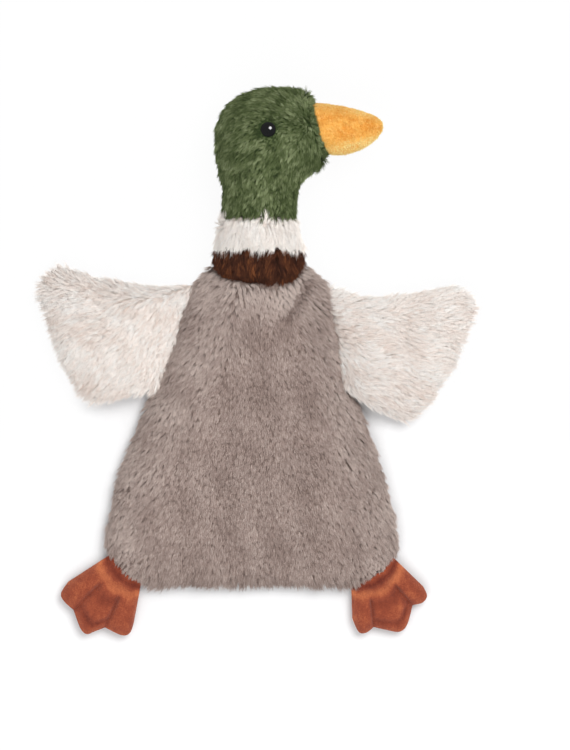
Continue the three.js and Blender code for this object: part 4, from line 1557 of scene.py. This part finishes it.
@dataclass
class Head:
    """The green head with its eyes."""

    bill_root: tuple[float, float] = (38.4, 183.0)
    eye: tuple[float, float] = (9.9, 178.5)
    eye_radius: float = 4.4
    eye_edge: float = 46.0
    eye_sides: int = 48
    seam: float = 127.2
    bill_line: tuple[tuple[float, float], tuple[float, float]] = ((36.6, 197.4), (46.2, 165.0))
    brow: tuple[float, float] = (34.0, 200.0)
    cheek: tuple[float, float] = (41.0, 160.0)
    parting: float = 8.4
    nap: Nap = Nap(0.6, 15, 0.25, 0.95, 0.7, 13.0, 71, 0.11)

    def build(self) -> None:
        """Builds the cover, its filling, its pile and the eyes."""
        nodes = ("head_front_panel", "head_back_panel", "head_filling", "front_eye", "back_eye")
        cover = Cover(
            "head_cover",
            nodes,
            GREEN_GROUND,
            "green_plush",
            voxel=2.2,
            inset=1.7,
            weight=0.1,
            cap=1.0,
            fill=0.8,
            seams=(Seam((0.0, -1.0), -self.seam, 14.0),),
        )
        piece, filling = stuffed(cover, "head_stuffing", 2.6)
        pile = Pile("head_pile", GREEN_PILE, "green_plush", self.nap, self.growth).grow(cover.skin)
        for part in (piece, filling, *pile, self.eye_piece("front_eye", 1), self.eye_piece("back_eye", -1)):
            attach(part, "head")
        for name in ("front_eye_washer", "back_eye_washer"):
            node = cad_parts[name]
            node.data.materials.clear()
            node.data.materials.append(WASHER_PLASTIC.material())

    def growth(self, points: Array, normals: Array) -> Growth:
        """How the head's pile grows.

        Args:
            points: Places on the skin, in millimetres.
            normals: The skin's normals there.

        Returns:
            The growth at those places.
        """
        x, y = points[:, 0], points[:, 1]
        back = np.stack([x - self.bill_root[0], y - self.bill_root[1]], 1)
        far = np.linalg.norm(back, axis=1)
        back = unit(back)
        down = 1.35 * smoothstep(far, 8.0, 75.0)
        apart = np.hypot(x - self.eye[0], y - self.eye[1])
        aside = 1.6 * hump(apart, 7.0) / np.maximum(apart, 1.0)
        split = np.exp(-np.abs(x - self.parting) / 2.5) * (1.0 - smoothstep(y, 128.0, 140.0))
        turn = 0.2 * waves(points, 72, 21.0) + 0.22 * waves(points, 77, 8.0) + aside * (x - self.eye[0])
        turn += 0.7 * split * np.sign(x - self.parting)
        forward = 1.0 - smoothstep(self.off_bill(points), 2.0, 8.0)
        way = planar(back[:, 0] + turn, back[:, 1] - down + aside * (y - self.eye[1]))
        way = unit(way) * (1.0 - forward[:, None]) + forward[:, None] * [1.0, 0.12, 0.0]
        lean = 27.0 + 6.0 * waves(points, 73, 16.0) + 5.0 * waves(points, 78, 7.0) + 12.0 * forward
        rim = 1.0 - np.abs(normals[:, 2])
        length = (5.4 + 0.5 * waves(points, 74, 12.0)) * np.clip((apart - 3.6) / 6.0, 0.3, 1.0)
        brow = hump(x - self.brow[0], 4.0) * hump(y - self.brow[1], 4.0)
        cheek = hump(x - self.cheek[0], 5.0) * hump(y - self.cheek[1], 6.0)
        length *= (1.0 - 0.15 * rim) * (1.0 - 0.5 * forward + 0.7 * (brow + cheek))
        hem = 1.0 - smoothstep(y, 128.0, 136.0)
        length += (1.7 + 1.1 * waves(points, 79, 5.0)) * hem
        shade = 0.46 + 0.05 * waves(points, 75, 20.0) + 0.045 * waves(points, 76, 7.0) - 0.05 * hem
        # painted shadow: a darker crescent of pile to the left of the eye
        shade -= 0.3 * hump(x - self.eye[0] + 5.6, 2.6) * hump(y - self.eye[1] + 0.6, 4.4)
        thick = (apart > self.eye_radius + 0.5) * thinned_below(normals, 0.6)
        thick = thick * ~((normals[:, 1] < -0.7) & (y < self.seam + 3.0))
        return Growth(way, lean, length, shade, thick)

    def off_bill(self, points: Array) -> Array:
        """How far points lie from the line along which the bill is sewn on.

        Args:
            points: Places in millimetres.

        Returns:
            The distances in millimetres.
        """
        start, end = np.array(self.bill_line)
        along = np.clip((points[:, :2] - start) @ (end - start) / ((end - start) @ (end - start)), 0.0, 1.0)
        return np.linalg.norm(points[:, :2] - start - along[:, None] * (end - start), axis=1)

    def eye_piece(self, node: str, way: int) -> bpy.types.Object:
        """A glossy domed eye on its shank.

        Args:
            node: The solid that it stands for.
            way: 1 on the seen side and -1 on the other.

        Returns:
            The eye.
        """
        low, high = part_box(node)
        middle = (np.array(low) + np.array(high)) / 2.0 / MM
        top = (high[2] if way > 0 else low[2]) / MM
        bottom = (low[2] if way > 0 else high[2]) / MM
        radius = (high[0] - low[0]) / 2.0 / MM
        ball = radius / math.sin(math.radians(self.eye_edge))
        steps = np.radians(np.linspace(2.0, self.eye_edge, 22))
        dome = [(ball * math.sin(t), ball * (math.cos(t) - 1.0)) for t in steps]
        under = [(radius, -2.6), (0.9 * radius, -2.9), (1.7, -3.0), (1.55, -3.3), (1.5, -abs(top - bottom))]
        profile = [*dome, *under]
        turn = np.linspace(0.0, 2.0 * math.pi, self.eye_sides, endpoint=False)
        rings = []
        for out, up in profile:
            level = np.full(self.eye_sides, top + way * up)
            rings.append(np.stack([middle[0] + out * np.cos(turn), middle[1] + out * np.sin(turn), level], 1))
        shell = loft(np.stack(rings), *(np.array([middle[0], middle[1], z]) for z in (top, bottom)))
        faces = shell.faces[:, ::-1] if way > 0 else shell.faces
        piece = make_object(f"{node}_dome", shell.points, faces, EYE_GLOSS)
        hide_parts(node)
        return piece


@dataclass
class Bill:
    """The yellow stuffed bill with its short velour pile."""

    bottom: float = 164.6
    nap: Nap = Nap(3.4, 3, 0.18, 0.4, 0.2, 14.0, 81, 0.15)

    def build(self) -> None:
        """Builds the cover, its filling and its pile."""
        nodes = ("bill_front_panel", "bill_back_panel", "bill_filling")
        low, tip = (corner[0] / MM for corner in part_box("bill_front_panel"))
        cover = Cover(
            "bill_cover",
            nodes,
            BILL_VELOUR,
            "yellow_velour",
            voxel=1.5,
            inset=0.0,
            weight=0.1,
            cap=0.5,
            fill=0.7,
            seams=(
                Seam((-1.0, 0.0), -low + 4.0, 16.0),
                Seam((1.0, 0.0), tip, 30.0),
                Seam((0.0, -1.0), -self.bottom, 14.0),
            ),
            shape=self.fuller,
        )
        piece, filling = stuffed(cover, "bill_stuffing", 1.8)
        pile = Pile("bill_pile", BILL_PILE, "yellow_velour", self.nap, self.growth).grow(cover.skin)
        for part in (piece, filling, *pile):
            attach(part, "head")

    @staticmethod
    def fuller(points: Array, normals: Array) -> Array:
        """Draws the lower edge down towards the tip."""
        down = -1.7 * smoothstep(-normals[:, 1], 0.0, 0.6) * smoothstep(points[:, 0], 46.0, 70.0)
        return np.stack([0.0 * down, down, 0.0 * down], 1)

    def growth(self, points: Array, normals: Array) -> Growth:
        """How the bill's pile grows.

        Args:
            points: Places on the skin, in millimetres.
            normals: The skin's normals there.

        Returns:
            The growth at those places.
        """
        x, y = points[:, 0], points[:, 1]
        way = planar(0.3 + 0.1 * waves(points, 82, 9.0), np.full_like(x, -1.0))
        lean = 40.0 + 6.0 * waves(points, 83, 5.0)
        rim = smoothstep(1.0 - np.abs(normals[:, 2]), 0.06, 0.5)
        below = smoothstep(0.22 * (x - 46.0) + 173.0 - y, 0.0, 6.0)
        shade = 0.24 + 0.04 * waves(points, 84, 14.0) + 0.05 * waves(points, 85, 4.0)
        # painted sheen: the bill's rim is lighter; the pile is also paler below a line towards the lower edge
        shade += np.maximum(0.42 * rim, 0.52 * below)
        thick = (normals[:, 0] > -0.8) * 1.0
        return Growth(way, lean, np.full_like(x, 1.5), shade, thick)


def spline(points: Array, share: Array) -> Array:
    """A smooth curve through points.

    Args:
        points: The points, n by 2.
        share: Places along the curve, 0 at the first point and 1 at the last.

    Returns:
        The curve's points.
    """
    last = len(points) - 1
    place = np.clip(share, 0.0, 1.0) * last
    k = np.minimum(place.astype(int), last - 1)
    t = (place - k)[..., None]
    before, start, end, after = (points[np.clip(k + step, 0, last)] for step in (-1, 0, 1, 2))
    leave, arrive = (end - before) / 2.0, (after - start) / 2.0
    cubic = 2.0 * start - 2.0 * end + leave + arrive
    square = 3.0 * end - 3.0 * start - 2.0 * leave - arrive
    return ((cubic * t + square) * t + leave) * t + start


# Outlines of each foot's three toes: across and along the foot, in millimetres from the body's corner
LEFT_TOES = (
    ((21.1, 46.3), (19.8, 54.3), (15.4, 56.8), (7.4, 57.0)),
    ((7.4, 57.0), (-2.9, 62.5), (-8.1, 62.6), (-10.4, 58.6), (-13.7, 52.3)),
    ((-13.7, 52.3), (-24.2, 49.2), (-27.1, 44.9), (-24.7, 38.5)),
)
RIGHT_TOES = (
    ((21.9, 40.0), (21.1, 45.8), (16.7, 48.1), (10.7, 46.4)),
    ((10.7, 46.4), (2.1, 54.9), (-4.1, 56.3), (-10.5, 51.3), (-16.1, 46.1)),
    ((-16.1, 46.1), (-21.8, 46.8), (-25.4, 44.0), (-24.7, 35.2)),
)


@dataclass
class Foot:
    """A webbed foot of suede with two stitched channels."""

    side: Side
    turn: float
    spread: float
    toes: tuple[tuple[tuple[float, float], ...], ...]
    corner: tuple[float, float] = (64.0, -70.5)
    start: float = 24.9
    seam: float = 6.05
    swell: float = 3.75
    channel: float = 0.35
    root: float = -0.18
    bend: tuple[float, float] = (-0.08, 0.12)
    rows: int = 72
    columns: int = 151
    stitch_count: int = 12
    stitch_start: float = 0.3
    stitch_step: float = 0.056
    stitch_length: float = 0.045

    def place(self, u: Array, v: Array) -> tuple[Array, Array]:
        """A point of the foot's outline in the plane.

        Args:
            u: 0 at the body's hem and 1 at the toes.
            v: 1 at the outer side and -1 at the inner one.

        Returns:
            Its x and y.
        """
        ends = (1.0, self.channel, -self.channel, -1.0)
        tip = np.zeros((*v.shape, 2))
        for toe, (first, last) in zip(self.toes, zip(ends, ends[1:]), strict=True):
            mine = (v <= first + 1e-9) & (v >= last - 1e-9)
            tip[mine] = spline(np.array(toe), (v[mine] - first) / (last - first))
        root = np.radians(self.spread * v)
        across = (1.0 - u) * self.start * np.sin(root) + u * tip[..., 0]
        along = (1.0 - u) * self.start * np.cos(root) + u * tip[..., 1]
        turn = math.radians(self.turn)
        outward = across * math.cos(turn) + along * math.sin(turn)
        down = along * math.cos(turn) - across * math.sin(turn)
        return self.side.value * (self.corner[0] + outward), self.corner[1] - down

    def height(self, u: Array, v: Array) -> Array:
        """How far the cloth stands from the seam at a point.

        Args:
            u: 0 at the body's hem and 1 at the toes.
            v: 1 at the outer side and -1 at the inner one.

        Returns:
            The heights in millimetres.
        """
        along = np.clip(u, 0.0, 1.0)
        full = (1.0 - np.abs(2.0 * along - 1.0) ** 3) * (1.0 - v**4)
        groove = hump(np.abs(v) - self.channel, 0.06) * smoothstep(u, 0.16, 0.4)
        web = 1.0 - smoothstep(np.abs(v), 0.2, 0.42)
        ankle = hump(u - 0.2, 0.11)
        hollow = hump(u - 0.42, 0.1) + 0.8 * hump(u - 0.82, 0.07)
        outer = hump(np.abs(v) - 0.66, 0.2) * smoothstep(u, 0.2, 0.6)
        rise = full * (1.0 - 0.5 * groove + 0.22 * ankle - 0.3 * web * hollow + 0.16 * outer)
        return 0.5 + self.swell * rise

    def tone(self, u: Array, v: Array) -> Array:
        """The painted light and shade on the cloth at a point: lighter on the ankle roll and at the edges,
        darker along the hem, in the web's hollow, at the dent and in the channels.

        Args:
            u: 0 at the body's hem and 1 at the toes.
            v: 1 at the outer side and -1 at the inner one.

        Returns:
            The tones, about 0 to 1.
        """
        # painted light on the raised ankle roll and the edges; painted shade in the web's hollow and dent and
        # in the channels
        web = 1.0 - smoothstep(np.abs(v), 0.24, 0.38)
        ankle = hump(u - 0.16, 0.1)
        # painted shadow along the hem, where the foot meets the body
        sewn = hump(u + 0.03, 0.07)
        hollow = hump(u - 0.4, 0.13)
        dent = hump(u - 0.82, 0.06)
        groove = hump(np.abs(v) - self.channel, 0.05) * smoothstep(u, 0.2, 0.4)
        rim = smoothstep(np.abs(v), 0.8, 0.98) + smoothstep(u, 0.92, 0.99)
        light = 0.5 + 0.3 * ankle - 0.4 * sewn - web * (0.22 * hollow + 0.3 * dent)
        return light - 0.25 * groove + 0.12 * rim

    def build(self) -> None:
        """Builds the foot, its stitching and its filling."""
        word = f"{self.side.word}_foot"
        steps = np.linspace(self.root, 1.0, self.rows), np.linspace(1.0, -1.0, self.columns)
        u, v = np.meshgrid(*steps, indexing="ij")
        x, y = self.place(u, v)
        rise = self.height(u, v)
        top = np.stack([x, y, self.seam + rise], -1).reshape(-1, 3)
        low = np.stack([x, y, self.seam - rise], -1).reshape(-1, 3)
        piece = make_object(f"{word}_cover", np.concatenate([top, low]), self._faces(), FOOT_SUEDE)
        # the foot's painted light and shade, kept on its mesh as the tone attribute
        painted_relief_shade = piece.data.attributes.new("tone", "FLOAT", "POINT")
        painted_relief_shade.data.foreach_set("value", np.tile(self.tone(u, v).ravel(), 2).astype(np.float32))
        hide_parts(f"{word}_upper", f"{word}_sole")
        filling = stuffing_for(piece, f"{word}_stuffing", 0.7, f"{word}_filling")
        start, end = (
            (float(a) * MM, float(b) * MM, self.seam * MM)
            for a, b in (self.place(np.array([share]), np.zeros(1)) for share in self.bend)
        )
        for part in (piece, filling, self.stitches()):
            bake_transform(part)
            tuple(start)
            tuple(end)

    def _faces(self) -> Array:
        """The triangles of the two sheets and the edge between them.

        Returns:
            Corner numbers, m by 3.
        """
        number = np.arange(self.rows * self.columns).reshape(self.rows, self.columns)
        a, b, c, d = number[:-1, :-1], number[1:, :-1], number[1:, 1:], number[:-1, 1:]
        quads = np.stack([a, b, c, d], -1).reshape(-1, 4)
        if self.side is Side.LEFT:
            quads = quads[:, ::-1]
        rim = np.concatenate([number[0, :-1], number[:-1, -1], number[-1, :0:-1], number[:0:-1, 0]])
        after = np.roll(rim, -1)
        shift = number.size
        edge = np.stack([rim, after, after + shift, rim + shift], -1)
        if self.side is Side.RIGHT:
            edge = edge[:, ::-1]
        quads = np.concatenate([quads[:, ::-1], quads + shift, edge[:, ::-1]])
        return np.concatenate([quads[:, [0, 1, 2]], quads[:, [0, 2, 3]]])

    def stitches(self) -> bpy.types.Object:
        """The two rows of stitches on the upper side and the sole.

        Returns:
            The stitches, as one piece.
        """
        sewn = []
        for way in (1, -1):
            for row in (-self.channel, self.channel):
                for start in self.stitch_start + self.stitch_step * np.arange(self.stitch_count):
                    u = np.linspace(start, start + self.stitch_length, 7)
                    v = np.full_like(u, row)
                    x, y = self.place(u, v)
                    lift = 0.16 * np.sin(np.linspace(0.0, math.pi, 7)) - 0.08
                    z = self.seam + way * (self.height(u, v) + lift)
                    sewn.append(self._thread(np.stack([x, y, z], -1)))
        shell = Shell.joined(sewn)
        piece = make_object(f"{self.side.word}_foot_stitches", shell.points, shell.faces, FOOT_THREAD)
        return piece

    @staticmethod
    def _thread(line: Array) -> Shell:
        """One closed stitch along a short line.

        Args:
            line: Its seven points.

        Returns:
            The stitch.
        """
        along = unit(np.gradient(line, axis=0))
        across = unit(np.cross(along, [0.0, 0.0, 1.0]))
        up = np.cross(across, along)
        turn = np.linspace(0.0, 2.0 * math.pi, 6, endpoint=False)
        thin = 0.2 * np.array([0.55, 0.9, 1.0, 1.0, 1.0, 0.9, 0.55])
        ring = across[:, None] * np.cos(turn)[None, :, None] + up[:, None] * np.sin(turn)[None, :, None]
        return loft(line[:, None] + ring * thin[:, None, None], line[0], line[-1])


@dataclass(frozen=True)
class Lamp:
    """A square soft lamp; its place, aim and side are in metres, its power in watts."""

    name: str
    place: tuple[float, float, float]
    side: float
    power: float
    aim: tuple[float, float, float] = (0.01, 0.04, 0.01)

    def build(self) -> bpy.types.Object:
        """Hangs the lamp so that it looks at the object.

        Returns:
            The lamp.
        """
        data = bpy.data.lights.new(self.name, "AREA")
        data.size = self.side
        data.energy = self.power
        lamp = linked(self.name, data)
        lamp.location = self.place
        lamp.visible_glossy = False
        away = Vector(self.place) - Vector(self.aim)
        lamp.rotation_euler = away.to_track_quat("Z", "Y").to_euler()
        return lamp


@dataclass
class Studio:
    """The floor, the lamps and the camera that looks straight down."""

    key: Lamp = Lamp("key", (0.75, 0.8, 2.0), 1.3, 33.0)
    fill: Lamp = Lamp("fill", (-0.3, -1.2, 1.9), 1.6, 20.0)
    spark: Lamp = Lamp("glint", (0.86, 0.86, 2.0), 1.1, 260.0)
    soft: float = 0.6
    sensor: float = 36.0
    centre: tuple[float, float] = (19.8, 33.0)
    tall: float = 450.0
    level: float = 12.0
    distance: float = 3000.0
    floor_half: float = 4000.0

    def build(self) -> None:
        """Builds the floor, the world, the lamps and the camera."""
        scene = bpy.context.scene
        scene.view_settings.view_transform = "Standard"
        self.floor()
        self.world()
        for lamp in (self.key, self.fill):
            lamp.build()
        self.glint()
        data = bpy.data.cameras.new("camera")
        data.sensor_width = self.sensor
        data.lens = self.sensor * self.distance / self.tall
        data.clip_end = 50.0
        scene.camera = linked("camera", data)
        scene.camera.location = (self.centre[0] * MM, self.centre[1] * MM, (self.level + self.distance) * MM)

    def floor(self) -> None:
        """A wide floor with a slight grid."""
        steps = np.linspace(-self.floor_half, self.floor_half, 9)
        x, y = np.meshgrid(steps, steps, indexing="ij")
        points = np.stack([x, y, np.zeros_like(x)], -1).reshape(-1, 3)
        number = np.arange(x.size).reshape(x.shape)
        corners = (number[:-1, :-1], number[1:, :-1], number[1:, 1:], number[:-1, 1:])
        faces = np.stack(corners, -1).reshape(-1, 4)
        make_object("floor", points, faces, FLOOR)

    def world(self) -> None:
        """An even soft sky that is white where it is seen."""
        graph = Graph(bpy.data.worlds.new("studio"))
        bpy.context.scene.world = graph.owner
        white = (1.0, 1.0, 1.0)
        soft = graph.add("ShaderNodeBackground", None, {"Color": white, "Strength": self.soft})
        clear = graph.add("ShaderNodeBackground", None, {"Color": white, "Strength": 1.0})
        both = graph.add("ShaderNodeMixShader", None, {0: graph.seen(), 1: soft, 2: clear})
        graph.add("ShaderNodeOutputWorld", None, {"Surface": both})

    def glint(self) -> None:
        """A lamp that only the glossy eyes mirror."""
        eyes = bpy.data.collections.new("eyes")
        for name in ("front_eye_dome", "back_eye_dome"):
            eyes.objects.link(bpy.data.objects[name])
        lamp = self.spark.build()
        lamp.visible_diffuse = False
        lamp.visible_glossy = True
        lamp.light_linking.receiver_collection = eyes


def main() -> None:
    """Builds the pieces in order and logs each one."""
    logging.basicConfig(level=logging.INFO, format="%(message)s")
    parts = [
        Body(),
        Wing(Side.LEFT, ((-35.8, 87.0), (-59.0, 25.0)), WING_NAP, (-74.0, 18.0)),
        Wing(Side.RIGHT, ((44.2, 87.0), (59.0, 25.0)), replace(WING_NAP, seed=42), (68.0, 18.0)),
        Neck(),
        Head(),
        Bill(),
        Foot(Side.LEFT, 41.5, 34.0, LEFT_TOES),
        Foot(Side.RIGHT, 30.0, 40.0, RIGHT_TOES),
        Studio(),
    ]
    for part in parts:
        part.build()
        LOG.info("built %s", type(part).__name__)


if __name__ == "__main__":
    main()
